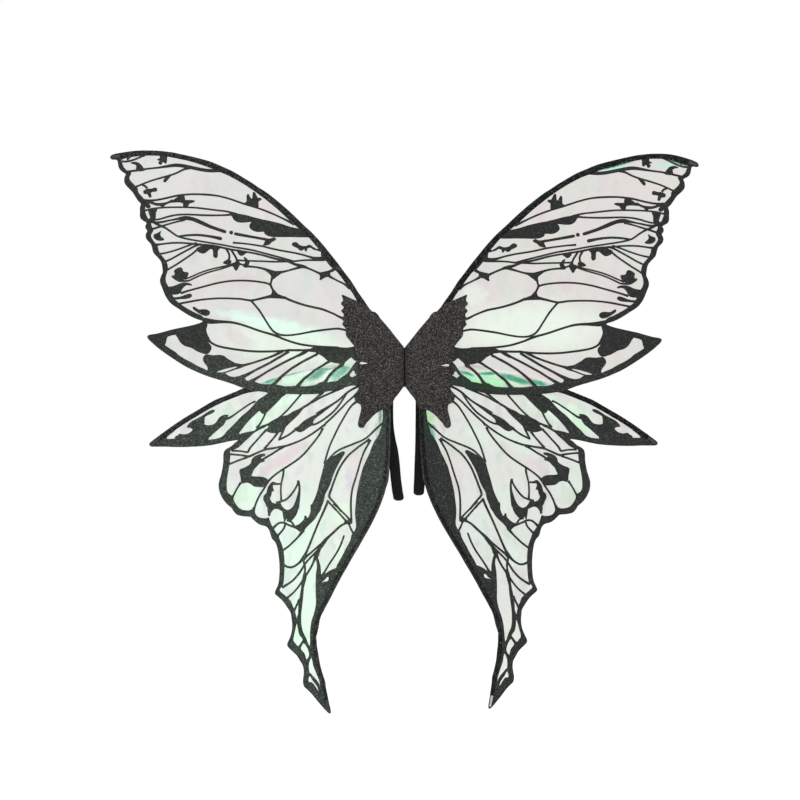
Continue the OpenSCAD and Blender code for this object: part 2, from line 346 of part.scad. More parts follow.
// Printed lines of the lower wing, each [out, up, width].
LOWER_VEINS = [
  [ [296, -104, 5], [300, -112, 8]],
  [ [272, -77, 4], [264, -75.2, 3.4], [257, -71, 2.6], [248, -64.4, 2.4], [239, -58.2, 2.4],
    [231, -53, 2.4], [224, -50, 3]],
  [ [207.6, -61, 4], [209, -66.6, 3], [211.4, -73, 2.6], [214.8, -79.4, 2.6], [218.4, -85.4, 2.8],
    [222.6, -90.4, 4]],
  [ [153, -36, 3], [157, -41, 2.8], [162, -47, 2.6], [168, -54, 2.6], [175, -62, 2.6], [182, -69, 2.6],
    [189, -75.4, 3]],
  [ [208, -93, 4], [211.4, -96.6, 3], [216, -101.6, 2.8], [222, -108.4, 2.6], [228, -115, 2.8],
    [233, -121, 3], [236, -126.4, 3.2], [244, -125, 2.4], [252, -124.4, 2.6], [260, -124, 3.4]],
  [ [262, -129.4, 3], [252, -130.2, 2.6], [242, -131.4, 3], [234, -132.8, 3.4], [226, -129.4, 3],
    [217, -125.4, 2.8], [208, -122, 3], [198, -120.6, 3], [188, -118.6, 2.8], [178, -117, 3],
    [168, -113.6, 3], [158, -109.6, 2.6], [150, -105.6, 2.6], [140, -99.6, 2.8], [130, -92.6, 2.8],
    [121, -85.6, 3]],
  [ [266, -144, 5], [260, -143, 2.8], [252, -139.6, 2.6], [243, -136.4, 2.8], [236, -134, 3]],
  [ [191, -97, 4], [195, -103, 2.8], [201, -110, 2.8], [207, -117, 3], [211, -121.6, 4]],
  [ [181, -118.4, 3], [190, -123, 3], [199, -129, 2.8], [208, -134, 3], [215, -139, 3.4], [222, -143, 5]],
  [ [162, -91, 4], [168, -96, 3], [175, -101, 2.8], [182, -104.6, 2.8], [189.6, -108.2, 2.6]],
  [ [189.2, -108.4, 2.4], [186.6, -103, 2.8], [183.4, -96.4, 3.2], [181, -89, 4.4]],
  [ [146, -84, 6], [138, -85.2, 3], [131, -83, 2.8], [124, -79, 2.8], [117, -74, 2.8],
    [110, -68.6, 2.8], [104, -62.6, 2.8], [98.4, -55.6, 2.8], [94, -49.4, 2.6], [90, -43, 2.8],
    [87, -38, 3]],
  [ [132, -70, 5.4], [124, -64.6, 5], [116, -59.6, 4], [108, -54.4, 3], [100, -49, 2.8],
    [93, -43, 2.8], [87, -37.6, 3.2], [81, -33.4, 3], [74, -29.6, 3.4], [66, -26, 4]],
  [ [92, -29, 4], [100, -32.4, 3.6], [106, -35.2, 3], [113, -38.4, 2.8], [121, -41.8, 2.8],
    [128, -45.2, 3], [135, -49, 3.6], [141, -52, 4]],
  [ [121.6, -87.6, 3.4], [118, -82.6, 3], [112, -77.2, 2.8], [105.4, -71, 2.8], [99, -64.6, 2.6],
    [93, -58.4, 2.6], [87, -52, 2.6], [82, -47.6, 2.6], [76, -42.4, 2.8], [71, -38, 4]],
  [ [123, -90, 4], [125.6, -96.4, 3], [132, -106, 2.8], [140, -116, 2.8], [150, -128, 2.8],
    [160, -137, 2.8], [170, -144, 2.8], [180, -150.4, 3], [190, -157, 2.6], [200, -165, 2.8],
    [206, -172, 3.4], [211, -181, 2.8], [217, -190, 2.8], [222, -200, 2.8], [225, -208, 3],
    [228, -215, 6]],
  [ [120.4, -144, 3.4], [118.6, -137, 2.8], [116, -128, 2.6], [112, -116, 2.6], [106.4, -104, 2.6],
    [102, -94.6, 2.6], [97.6, -86, 2.6], [93.4, -78.6, 2.6], [89.6, -72, 2.6], [85.6, -65.4, 2.6],
    [81.4, -59, 2.8], [76.6, -54, 3], [69, -48.6, 4]],
  [ [246, -172, 4], [250, -178, 2.6], [254, -185, 2.6], [257.6, -192, 3], [262, -197, 6]],
  [ [182, -151, 3], [182, -158, 3], [183.6, -166, 2.6], [185.4, -174, 2.4], [186, -184, 2.4],
    [185.6, -194, 2.6], [185, -201, 4]],
  [ [187, -174, 2.6], [194, -174.4, 3], [200, -173, 4]],
  [ [160, -169, 3], [161, -175, 2.6], [166, -184, 2.8], [172, -192, 2.8], [178, -197.6, 2.8],
    [185, -200.4, 3], [193, -203, 4]],
  [ [159.6, -169, 2.4], [158, -178, 3], [158.6, -190, 3.6], [160, -200, 5], [163, -210, 9]],
  [ [204, -222, 4], [202.4, -214, 3], [206, -205, 6]],
  [ [120, -143.6, 3.4], [115.4, -139, 2.8], [110.6, -133.4, 2.6], [104, -127, 2.8], [97, -122.6, 2.8],
    [88.4, -118.8, 2.8], [80, -115.6, 2.8], [73, -112.6, 2.6], [65, -109.6, 2.6], [57, -105, 2.6],
    [50, -99, 2.8], [44, -93, 3], [38.4, -88, 3], [33, -83, 3.2]],
  [ [52, -107, 4], [60, -112.4, 2.8], [68, -118, 2.8], [76, -124.4, 2.8], [83, -130.2, 2.8],
    [89.6, -138, 3], [95.4, -146.6, 3], [100, -155.4, 3], [105, -168, 3], [109.6, -181, 3],
    [113.4, -193, 3.4], [108, -200, 2.8], [101, -208, 2.8], [95, -216, 3]],
  [ [51, -108, 4], [55, -116, 3], [61, -127, 2.6], [66, -141, 2.6], [70, -155, 2.6], [74, -168, 2.6],
    [78, -181, 2.6], [80, -195, 2.8], [80.4, -208, 2.8], [80, -218, 3]],
  [ [115, -200.6, 3.4], [110, -206, 2.6], [103, -214, 2.6]],
  [ [198, -241, 4], [192, -235, 3], [187, -232.4, 3], [181, -232.6, 3], [175, -235.6, 3],
    [168, -238.4, 3], [161, -241.4, 3], [155, -246, 4]],
  [ [179, -233, 3], [181, -240, 2.8], [185, -245.6, 2.8], [191, -252, 3.4]],
  [ [177, -229, 3], [171, -230.6, 2.8], [168, -234, 2.8], [165, -239, 3]],
  [ [152, -244, 5], [160, -254, 2.8], [167, -261, 2.8], [174, -267.6, 2.8], [181, -272.6, 3],
    [186, -276, 4]],
  [ [115, -199, 3.4], [117, -205, 3.4], [120, -212, 3.4], [124, -221, 3.2], [129, -232, 3],
    [136, -249, 3], [140, -259, 3], [144, -269, 3.2], [148, -278, 3.6], [152, -285, 4.6],
    [157, -291.6, 3.6], [163, -296.4, 3], [168, -299, 3], [173, -299.6, 3], [179, -297.6, 3.2],
    [184, -294, 4]],
  [ [110, -205.6, 2.6], [103, -213, 2.6], [96, -221, 2.6], [89, -228.6, 3], [84, -233, 4]],
  [ [107, -204, 2.6], [99, -211, 2.6], [92, -218, 2.6], [86, -224, 2.6], [81, -230, 4]],
  [ [80.4, -205, 2.8], [80, -218, 2.8], [79.6, -228, 3], [80, -234, 3.4]],
  [ [85, -232, 3], [82, -238, 2.6], [80, -243, 2.8], [76, -250, 3.4]],
  [ [84, -232, 4], [90, -234.4, 3.2], [97, -238.4, 3], [104, -245, 3.6], [111, -251.4, 3.4],
    [118, -258, 4.6], [125, -264.6, 3.4], [132, -270.6, 3], [140, -277.4, 3], [147, -283, 3.6],
    [152, -288, 5]],
  [ [118, -259, 4], [124, -267, 5], [130, -274.6, 4], [137, -281, 3], [143, -287, 2.8],
    [148, -292.6, 3], [152, -298.4, 3], [156, -305, 3], [161, -312, 3], [168, -319.6, 3],
    [175, -324.6, 3], [184, -330, 4]],
  [ [131, -279, 8], [134, -285, 5], [137, -292.6, 3.2], [140.6, -300, 3], [145, -307, 3],
    [149, -313, 4], [151, -319, 6]],
  [ [152, -288, 3], [151, -294, 3], [149.6, -300, 3], [149.8, -307, 3], [150.6, -314, 5],
    [152, -322, 5.6], [153.4, -331, 4], [154.6, -341, 5], [156, -351, 5.6], [157, -361, 5.4],
    [157.6, -371, 4.6], [157.6, -381, 4.6], [157, -390, 4.6], [155.4, -397, 5], [152.6, -403, 4],
    [150.4, -409, 3.6], [147, -414, 3.4], [144.4, -419.4, 3.4], [142.4, -426, 4], [140, -432, 5]],
  [ [150.4, -409, 3], [153.8, -413.6, 3], [156.4, -418, 3], [160, -423, 5]],
  [ [151.6, -318, 4], [156, -324, 2.8], [161, -331, 2.6], [166.6, -337.4, 2.6], [172, -342, 2.8],
    [178, -347, 3.6]],
  [ [158, -348, 4], [161, -355, 3], [164, -361, 3], [167, -368, 4]],
  [ [90.6, -252, 2.4], [94, -261.6, 2.6], [98, -271, 2.6], [103, -280, 2.6], [109, -289, 2.6],
    [114, -296.6, 2.6], [118, -303.4, 2.8], [121.6, -309.6, 3.4], [124, -314, 5]],
  [ [146, -440, 4], [141.6, -434, 4], [139, -428, 4]],
  [ [143, -459.4, 3], [138, -465, 2.8], [133, -470.6, 2.8], [129, -478, 4]],
];

// Printed patches of the lower wing.
LOWER_SPOTS = [
  [ [327, -88.6], [324, -84], [319, -79.4], [312, -76], [304, -71.6], [297, -66.6], [290, -63],
    [285.4, -62.8], [286, -66], [292, -69.4], [299.6, -73.4], [300.4, -82], [300, -85], [294, -86],
    [286, -84], [281.4, -79], [278, -74], [272, -70.6], [264.6, -70.4], [266.6, -74.6], [268.4, -79],
    [272, -85.6], [278, -90.4], [286, -97.6], [293, -104], [296.4, -107.4], [288, -107.6], [279, -105],
    [273, -102], [266.6, -94.4], [262, -90.4], [256, -84], [251, -78.8], [245, -72.4], [238, -66.6],
    [231, -60], [225, -53.4], [220, -47.6], [206, -38.4], [200, -30], [176, -30], [178, -39],
    [184, -43.4], [190, -50], [196, -56], [202, -62], [207, -66.6], [212, -69], [216, -67],
    [217.6, -64.4], [221, -66.4], [228, -73], [234, -79], [240, -86], [246, -94], [249, -99.2],
    [242, -97.4], [234, -95.6], [226, -94], [220, -88.8], [212, -85.6], [205, -83], [199.6, -79.4],
    [193, -76], [186, -72.8], [176, -70.6], [168, -65.4], [160, -62], [152, -57], [144, -52.4],
    [138, -47.4], [133, -43.4], [127, -37.6], [124, -35], [120, -35], [121.6, -38.2], [126, -41.6],
    [130, -44.2], [131, -47], [137, -51], [146, -57.6], [152, -61], [158, -68.6], [166, -76.6],
    [174, -84], [180, -90.4], [184, -95], [190, -97.4], [200, -97.6], [206.6, -95.4], [209.4, -93.2],
    [206.4, -90.4], [204.4, -87.6], [207, -87], [211.4, -89.8], [217, -92], [227, -98], [233, -104],
    [240, -110], [248, -118], [255, -122], [262, -124.4], [262, -130], [262.6, -138], [266, -143],
    [264, -150], [275, -150], [274, -122], [262, -114], [252, -107.4], [262, -110], [285, -116],
    [330, -119], [345, -119], [345, -104], [340, -101], [338, -98.6], [331, -99.6], [324, -98],
    [319, -94], [319, -91], [324, -89.6]],
  [ [247, -152], [248.4, -156], [246.4, -164], [246, -171], [243, -173.4], [238, -172], [232, -173.6],
    [226, -178], [219, -178.6], [212, -179], [206, -175], [205, -169], [208, -165.6], [214, -163.4],
    [222, -163], [230, -162], [228, -157], [226, -152], [222, -148], [217, -142.4], [209.6, -140],
    [214, -136.6], [216, -134], [210, -132], [210, -128.6], [218, -129.6], [226, -133], [230, -138],
    [231, -143], [236, -147], [242, -150]],
  [ [199, -171], [194, -172], [192, -175], [198, -176.4], [197, -182], [196, -185], [199.4, -186],
    [200.4, -192], [202.4, -196], [199, -202], [192, -204], [186, -203.4], [184, -209], [180, -212],
    [176, -214], [182, -216], [190, -212], [196, -212], [200.6, -217], [203, -222], [206, -216],
    [206, -210], [209, -204], [212.4, -197], [211, -191], [207.6, -188], [206, -181], [203.6, -176]],
  [ [165, -90.4], [160, -87.6], [152, -80], [144, -75], [136, -71], [128, -68], [120, -61],
    [112, -56.6], [118, -63.4], [127, -70.6], [132, -74], [137, -79.4], [138, -85.6], [144, -89],
    [150, -93.6], [156, -96.4], [161, -95.4], [166, -93]],
  [ [93, -125.4], [90, -126], [89.8, -129], [93, -134], [97, -140.6], [101, -148], [105, -156],
    [108.4, -165], [111.4, -174], [115, -182], [119.4, -190], [121, -199], [125, -209], [129, -218],
    [141, -218], [139.6, -206], [135, -196], [131, -185], [128, -172], [124, -158], [121.6, -148],
    [120, -143.6], [118.4, -145], [116.4, -142.6], [113.2, -138.2], [109, -133.8], [103, -130.4],
    [97, -127]],
  [ [186, -205], [183, -209], [179, -212.6], [174, -213], [169, -209.6], [165.6, -204], [163, -197],
    [160, -186], [158.6, -176], [157, -180], [157, -192], [158.4, -205], [160, -213], [163, -221],
    [168, -227.4], [171, -229.8], [174, -231], [175.4, -229.4], [175.6, -227.8], [178, -227.4],
    [179, -229], [180.6, -232], [182, -226], [183.6, -216]],
  [ [141, -205], [140.6, -214], [145.6, -226], [148, -222], [150.6, -222.6], [151, -227],
    [155, -231.6], [160, -235.6], [165, -237.4], [163, -240.6], [157, -243.6], [154.6, -247],
    [151, -246], [150, -243], [144, -236], [136, -228.6], [131, -221], [128, -215], [125, -208]],
  [ [90, -230], [85, -229], [80.6, -227], [78.6, -233], [82, -236], [86, -235], [90, -234.6]],
  [ [115, -256.6], [122, -266], [124, -270], [127, -277], [129, -283], [131, -288], [134, -285],
    [137.4, -281], [135, -278], [132, -276.6], [130, -272], [127, -268], [122, -261]],
];

// Part of the lower wing left unprinted behind the clear root of the upper wing.
LOWER_GAP = [
  [50, 8], [60, 12], [100, 14], [160, 4], [215, -12], [236, -22], [236, -32], [222, -29.4], [205, -29],
  [185, -30.2], [165, -31], [145, -30.6], [125, -28.4], [105, -24], [88, -19], [70, -14.4], [50, -10]
];

// Scalloped outline of the felt cover over the root of each wing.
PAD_EDGE = [
  [1, 31.4], [10.6, 44.4], [23, 60], [36.2, 75.2], [38.2, 78.6], [41, 82], [45, 85], [48.7, 85.7],
  [56, 93], [64, 98.4], [72, 101.4], [78, 104], [85, 107], [90, 109.2], [94.5, 110.5], [93.4, 106],
  [92.6, 101.6], [95.4, 98.4], [95, 95.4], [91.8, 92.4], [92, 90], [95.2, 87], [94, 84], [91.6, 81.4],
  [92, 78], [94.6, 74.4], [91.8, 70.6], [93.8, 66.2], [91.2, 62.6], [88.8, 60], [88.4, 55], [88.2, 50],
  [86, 46], [82, 41], [78, 36], [75.4, 32], [74, 22], [73, 12], [70, 7], [68.6, 1], [69.4, -5],
  [71, -9.6], [69, -13.4], [69.6, -20], [68.6, -26], [69.6, -32], [73, -37], [75.4, -42],
  [74.5, -48.8], [70, -53], [66, -55.4], [65.2, -62], [67, -70], [69.4, -79.8], [69.8, -86],
  [67.7, -89.4], [64, -90.2], [60.6, -88.6], [57, -82.6], [52, -77.6], [46.6, -71.6], [41, -67],
  [35, -63.6], [30, -62.4], [25, -62.4], [20.6, -58], [17.6, -52], [14, -45.3], [8.8, -39],
  [4.8, -33.4], [1.4, -28.8], [1, -26], [1, 0], [1, 29]
];

// Small cut slit in the felt cover.
PAD_SLIT = [
  [67.2, 8.2], [64.4, 9.4], [60, 8.6], [55, 7.2], [59, 6.4], [63.4, 5.8], [66.8, 6.4]
];

// Middle line of the wire along the leading edge of the upper wing.
LEAD_LINE = [
  [28, 46], [40, 64], [53, 82.4], [66, 101.4], [75.4, 116], [84, 128], [93, 140], [104, 154.2],
  [115, 168.2], [126, 182.6], [140, 198.4], [155, 212.4], [170, 225.8], [185, 239.2], [200, 251.4],
  [215, 262.8], [230, 273], [245, 282.4], [260, 290.4], [275, 296.8], [290, 302.8], [305, 308.2],
  [320, 312.6], [335, 316.2], [350, 319.2], [365, 321], [380, 321.6], [395, 320.8], [410, 318.8],
  [424, 315.8]
];

// Middle line of the wire along the top edge of the lower wing.
LOWER_LINE = [
  [30, -8], [50, -12], [70, -16.4], [88, -21], [105, -26], [125, -30.4], [145, -32.6], [165, -33],
  [185, -32.2], [205, -31], [222, -31.4], [238, -34], [252, -38.8], [267, -44.8], [282, -51.2],
  [297, -59.4], [312, -68.2], [327, -77.2], [342, -87], [355, -96.2], [368, -105.6]
];

// Middle line of the wire down the inner edge of the tail.
TAIL_LINE = [
  [32, -24], [27, -36], [25, -52], [24.6, -70], [24.6, -90], [24.8, -108], [25.4, -122], [26.4, -136],
  [27.4, -148], [28.8, -159.6], [30.4, -169.6], [32.4, -179.6], [35.4, -189.6], [38.8, -199.6],
  [43, -209.6], [47.4, -219.6], [52.2, -229.6], [57.6, -240], [63.4, -251], [69.6, -261.6],
  [75.6, -271.6], [81.4, -281.6], [87.4, -291.6], [93.4, -302], [99.4, -312.6], [105.2, -323],
  [110.8, -334], [116.4, -345], [121.8, -356], [126.8, -367], [130.6, -377], [133, -388],
  [134.6, -397], [136.2, -405], [135.6, -418], [134, -430], [131.8, -441], [129, -452], [125.8, -464],
  [122.6, -476], [120, -488], [117.8, -499]
];

// Half outline of the stiff back panel that hides behind the felt covers.
PANEL_HALF = [
  [0, 31], [12, 38], [24, 52], [36, 64], [46, 66], [54, 58], [58, 40], [58, 20], [60, 0], [58, -20],
  [56, -40], [50, -54], [36, -58], [24, -54], [18, -46], [12, -38], [0, -28]
];

// One more point between each two, on a smooth curve through them.
function between(a, b, c, d) = (9 * (b + c) - (a + d)) / 16;
function soft_line(p) = [
  for (i = [0 : len(p) - 2])
    each [p[i], between(p[max(i - 1, 0)], p[i], p[i + 1], p[min(i + 2, len(p) - 1)])],
  p[len(p) - 1]
];
function soft_ring(p) = let (n = len(p)) [
  for (i = [0 : n - 1])
    each [p[i], between(p[(i + n - 1) % n], p[i], p[(i + 1) % n], p[(i + 2) % n])]
];

// Sideways direction of a line at one of its points.
function heading(p, i) =
  let (a = p[max(i - 1, 0)], b = p[min(i + 1, len(p) - 1)], d = [b[0] - a[0], b[1] - a[1]])
  d / max(norm(d), 0.001);
function side_point(p, i, w) =
  let (h = heading(p, i)) [p[i][0] - h[1] * w / 2, p[i][1] + h[0] * w / 2];

// A stroke whose own third number is its width.
module stroke(p) {
  q = soft_line(p);
  n = len(q) - 1;
  polygon(concat(
    [for (i = [0 : n]) side_point(q, i, q[i][2])],
    [for (i = [n : -1 : 0]) side_point(q, i, -q[i][2])]
  ));
}

// A band of one width along a line.
module band(p, w) {
  q = soft_line(p);
  n = len(q) - 1;
  polygon(concat(
    [for (i = [0 : n]) side_point(q, i, w)],
    [for (i = [n : -1 : 0]) side_point(q, i, -w)]
  ));
}

module round_end(a, b, r) {
  hull() {
    translate(a) circle(r, $fn = 20);
    translate(b) circle(r, $fn = 20);
  }
}

// The lower right wing is a little smaller and leans outward, and its tail turns out at the end.
function lean_point(p, side) = side == "left" ? p : concat(
  [
    right_size * (p[0] - right_lean * p[1]) + tail_turn * max(0, -380 - p[1]),
    right_size * p[1]
  ],
  len(p) > 2 ? [p[2]] : []
);
function lean(p, side) = [for (q = p) lean_point(q, side)];

// The upper right wing droops a little toward its tip.
function droop_point(p, side) = side == "left" ? p : concat(
  [p[0], p[1] - upper_droop * p[0]],
  len(p) > 2 ? [p[2]] : []
);
function droop(p, side) = [for (q = p) droop_point(q, side)];

module pad_slit(side) {
  translate([0, side == "left" ? 0 : -slit_drop]) polygon(soft_ring(PAD_SLIT));
}

module upper_shape(side) {
  polygon(soft_ring(droop(UPPER_EDGE, side)));
}

module upper_art(side) {
  difference() {
    intersection() {
      upper_shape(side);
      offset(delta = ink_spread) union() {
        difference() {
          upper_shape(side);
          polygon(soft_ring(droop(UPPER_CLEAR, side)));
        }
        for (v = UPPER_VEINS) stroke(droop(v, side));
        for (s = UPPER_SPOTS) polygon(soft_ring(droop(s, side)));
      }
    }
    offset(delta = 0.5) pad_slit(side);
  }
}

module lower_shape(side) {
  polygon(soft_ring(lean(LOWER_EDGE, side)));
}

module lower_art(side) {
  difference() {
    intersection() {
      lower_shape(side);
      offset(delta = ink_spread) union() {
        difference() {
          lower_shape(side);
          polygon(soft_ring(lean(LOWER_CLEAR, side)));
          for (c = TAIL_CLEARS) polygon(soft_ring(lean(c, side)));
        }
        for (v = LOWER_VEINS) stroke(lean(v, side));
        for (s = LOWER_SPOTS) polygon(soft_ring(lean(s, side)));
      }
    }
    polygon(soft_ring(lean(LOWER_GAP, side)));
  }
}

// Stand a flat drawing up, from one layer distance to another.
module layer(from, to) {
  translate([0, wing_back_y - from, 0])
    rotate([90, 0, 0])
      linear_extrude(to - from) children();
}

// Swing one wing to its resting angle about the fold line, on its own side.
module swing() {
  translate([0, fold_y, 0])
    rotate([0, 0, -rest_sweep])
      translate([0, -fold_y, 0]) children();
}
module on_side(side) {
  if (side == "left") {
    mirror([1, 0, 0]) swing() children();
  } else {
    swing() children();
  }
}

module film(side, at) {
  color(clear_film) on_side(side) layer(at, at + film_thickness) children();
}

module art(side, at) {
  color(glitter) on_side(side) layer(at, at + print_thickness) children();
}

module wire(side, line, at) {
  color(steel) on_side(side) layer(at, at + wire_size) band(line, wire_size);
}

// Tape laid over the front of the wire.
module binding(side, line, at, width) {
  color(black) on_side(side) layer(at + wire_size, at + binding_depth) intersection() {
    band(line, width);
    children();
  }
}

module tip_cap(side, at, a, b, r) {
  color(black) on_side(side) layer(at, at + binding_depth) round_end(a, b, r);
}

module pad_shape(side) {
  difference() {
    polygon(soft_ring(PAD_EDGE));
    pad_slit(side);
  }
}

// Room left under the felt cover for the three bindings.
module wire_lanes(side) {
  band(droop(LEAD_LINE, side), binding_width + 1);
  band(lean(LOWER_LINE, side), binding_width + 1);
  band(lean(TAIL_LINE, side), tail_binding_width + 1);
}

module root_cover(side) {
  color(felt) on_side(side) union() {
    layer(cover_at, cover_at + 1.4) pad_shape(side);
    layer(cover_at + 1.3, cover_at + 2) offset(delta = -0.9) pad_shape(side);
    layer(cover_at + 1.9, cover_at + cover_thickness) offset(delta = -2) pad_shape(side);
    layer(upper_wire_at, cover_at + 0.1) difference() {
      pad_shape(side);
      offset(delta = -3.5) pad_shape(side);
      band(droop(LEAD_LINE, side), binding_width + 1);
    }
    layer(lower_wire_at, upper_wire_at + 0.1) difference() {
      pad_shape(side);
      offset(delta = -3.5) pad_shape(side);
      offset(delta = 1) upper_shape(side);
      wire_lanes(side);
    }
  }
}

module root_backing(side) {
  color(felt) on_side(side) layer(0, backing_thickness) offset(delta = -1.5) pad_shape(side);
}

module back_panel() {
  color(black) rotate([90, 0, 0]) linear_extrude(panel_thickness) polygon(soft_ring(concat(
    PANEL_HALF,
    [for (i = [len(PANEL_HALF) - 2 : -1 : 1]) [-PANEL_HALF[i][0], PANEL_HALF[i][1]]]
  )));
}

module spine_fold() {
  color(black) translate([-0.6, -panel_thickness - 3.6, -27]) cube([1.2, 3.6, 57]);
}

// Straps hang as loops: [back, up] down the loop with a sideways place at each point.
LEFT_LOOP = [
  [0.8, 16, 25], [0.8, 26, 25], [0.8, 34, 25], [3, 40.5, 25], [8, 45.5, 25], [15, 48, 25], [22, 46.5, 25],
  [28, 41, 25], [32.5, 32, 25], [35.4, 19, 25], [37, 0, 25], [38, -28, 25], [38, -58, 25], [37.4, -84, 24.6],
  [36.6, -106, 21.8], [35.4, -124, 17.8], [34, -142, 15.4], [32, -160, 13.8], [29.4, -174, 12.4],
  [25.6, -187, 10.8], [20, -195.6, 9.6], [14, -200, 9], [9, -198.4, 9], [5.8, -192, 9.8],
  [4.4, -180, 11.4], [3.8, -166, 13.2], [3.4, -148, 14.8], [3.2, -130, 16.8], [3, -110, 21],
  [2.8, -90, 24.4], [2.6, -68, 25], [1.8, -52, 25], [0.8, -42, 25], [0.8, -34, 25], [0.8, -26, 25],
];
RIGHT_LOOP = [
  [0.8, 16, 25], [0.8, 26, 25], [0.8, 34, 25], [3, 40.5, 25], [8, 45.5, 25], [15, 48, 25], [22, 46.5, 25],
  [28, 41, 25], [32.5, 32, 25], [35.4, 19, 25], [37, 0, 25], [38, -28, 25], [38, -58, 25], [37.4, -84, 24.8],
  [36.6, -104, 24.6], [35.4, -122, 24.2], [34, -138, 23.6], [32, -154, 23], [29.4, -167, 22.6],
  [25.6, -179.6, 22], [20, -187.8, 21.8], [14, -192, 21.7], [9, -190.4, 21.8], [5.8, -184, 22.2],
  [4.4, -172, 23], [3.8, -158, 23.4], [3.4, -142, 23.8], [3.2, -126, 24.2], [3, -108, 24.6],
  [2.8, -88, 25], [2.6, -68, 25], [1.8, -52, 25], [0.8, -42, 25], [0.8, -34, 25], [0.8, -26, 25],
];

// A flat elastic swept along its loop.
module strap(loop, way) {
  q = [for (p = soft_line(loop)) [max(p[0], strap_thickness / 2), p[1], p[2]]];
  n = len(q);
  rings = [for (i = [0 : n - 1])
    let (h = heading(q, i), t = strap_thickness / 2, w = strap_width / 2)
    each [
      [way * (q[i][2] - w), q[i][0] - h[1] * t, q[i][1] + h[0] * t],
      [way * (q[i][2] + w), q[i][0] - h[1] * t, q[i][1] + h[0] * t],
      [way * (q[i][2] + w), q[i][0] + h[1] * t, q[i][1] - h[0] * t],
      [way * (q[i][2] - w), q[i][0] + h[1] * t, q[i][1] - h[0] * t],
    ]
  ];
  turn = way > 0 ? [0, 1, 2, 3] : [3, 2, 1, 0];
  walls = [for (i = [0 : n - 2]) for (k = [0 : 3])
    let (a = 4 * i + turn[k], b = 4 * i + turn[(k + 1) % 4])
    each [[a, b, b + 4], [a, b + 4, a + 4]]
  ];
  low = [for (k = [3 : -1 : 0]) turn[k]];
  high = [for (k = [0 : 3]) 4 * (n - 1) + turn[k]];
  color(black) polyhedron(rings, concat([low], walls, [high]));
}

// Stitched square over each sewn strap end.
module patch(x, z) {
  color(black) translate([x - 9.5, strap_thickness, z - 6]) cube([19, 0.8, 12]);
}

module left_strap() {
  strap(LEFT_LOOP, -1);
}
module right_strap() {
  strap(RIGHT_LOOP, 1);
}
module left_strap_top_patch() {
  patch(-25, 25);
}
module left_strap_low_patch() {
  patch(-25, -33);
}
module right_strap_top_patch() {
  patch(25, 25);
}
module right_strap_low_patch() {
  patch(25, -33);
}
module left_root_cover() {
  root_cover("left");
}
module left_root_backing() {
  root_backing("left");
}
module left_upper_film() {
  film("left", upper_film_at) upper_shape("left");
}
module left_upper_print() {
  art("left", upper_print_at) upper_art("left");
}
module left_upper_wire() {
  wire("left", droop(LEAD_LINE, "left"), upper_wire_at);
}
module left_upper_binding() {
  binding("left", droop(LEAD_LINE, "left"), upper_wire_at, binding_width)
    upper_shape("left");
}
module left_upper_tip_cap() {
  tip_cap("left", upper_wire_at, droop_point([429, 315.6], "left"),
    droop_point([436.8, 314.6], "left"), 3.2);
}
module left_lower_film() {
  film("left", lower_film_at) lower_shape("left");
}
module left_lower_print() {
  art("left", lower_print_at) lower_art("left");
}
module left_lower_wire() {
  wire("left", lean(LOWER_LINE, "left"), lower_wire_at);
}
module left_lower_binding() {
  binding("left", lean(LOWER_LINE, "left"), lower_wire_at, binding_width)
    lower_shape("left");
}
module left_lower_tip_cap() {
  tip_cap("left", lower_wire_at, lean_point([370.8, -107.8], "left"),
    lean_point([379, -114.2], "left"), 2.1);
}
module left_tail_wire() {
  wire("left", lean(TAIL_LINE, "left"), lower_wire_at);
}
module left_tail_binding() {
  binding("left", lean(TAIL_LINE, "left"), lower_wire_at, tail_binding_width)
    lower_shape("left");
}
module left_tail_tip_cap() {
  tip_cap("left", lower_wire_at, lean_point([117, -502.4], "left"),
    lean_point([113.6, -515.6], "left"), 2);
}
module right_root_cover() {
  root_cover("right");
}
module right_root_backing() {
  root_backing("right");
}
module right_upper_film() {
  film("right", upper_film_at) upper_shape("right");
}
module right_upper_print() {
  art("right", upper_print_at) upper_art("right");
}
module right_upper_wire() {
  wire("right", droop(LEAD_LINE, "right"), upper_wire_at);
}
module right_upper_binding() {
  binding("right", droop(LEAD_LINE, "right"), upper_wire_at, binding_width)
    upper_shape("right");
}
module right_upper_tip_cap() {
  tip_cap("right", upper_wire_at, droop_point([429, 315.6], "right"),
    droop_point([436.8, 314.6], "right"), 3.2);
}
module right_lower_film() {
  film("right", lower_film_at) lower_shape("right");
}
module right_lower_print() {
  art("right", lower_print_at) lower_art("right");
}
module right_lower_wire() {
  wire("right", lean(LOWER_LINE, "right"), lower_wire_at);
}
module right_lower_binding() {
  binding("right", lean(LOWER_LINE, "right"), lower_wire_at, binding_width)
    lower_shape("right");
}
module right_lower_tip_cap() {
  tip_cap("right", lower_wire_at, lean_point([370.8, -107.8], "right"),
    lean_point([379, -114.2], "right"), 2.1);
}
module right_tail_wire() {
  wire("right", lean(TAIL_LINE, "right"), lower_wire_at);
}
module right_tail_binding() {
  binding("right", lean(TAIL_LINE, "right"), lower_wire_at, tail_binding_width)
    lower_shape("right");
}
module right_tail_tip_cap() {
  tip_cap("right", lower_wire_at, lean_point([117, -502.4], "right"),
    lean_point([113.6, -515.6], "right"), 2);
}

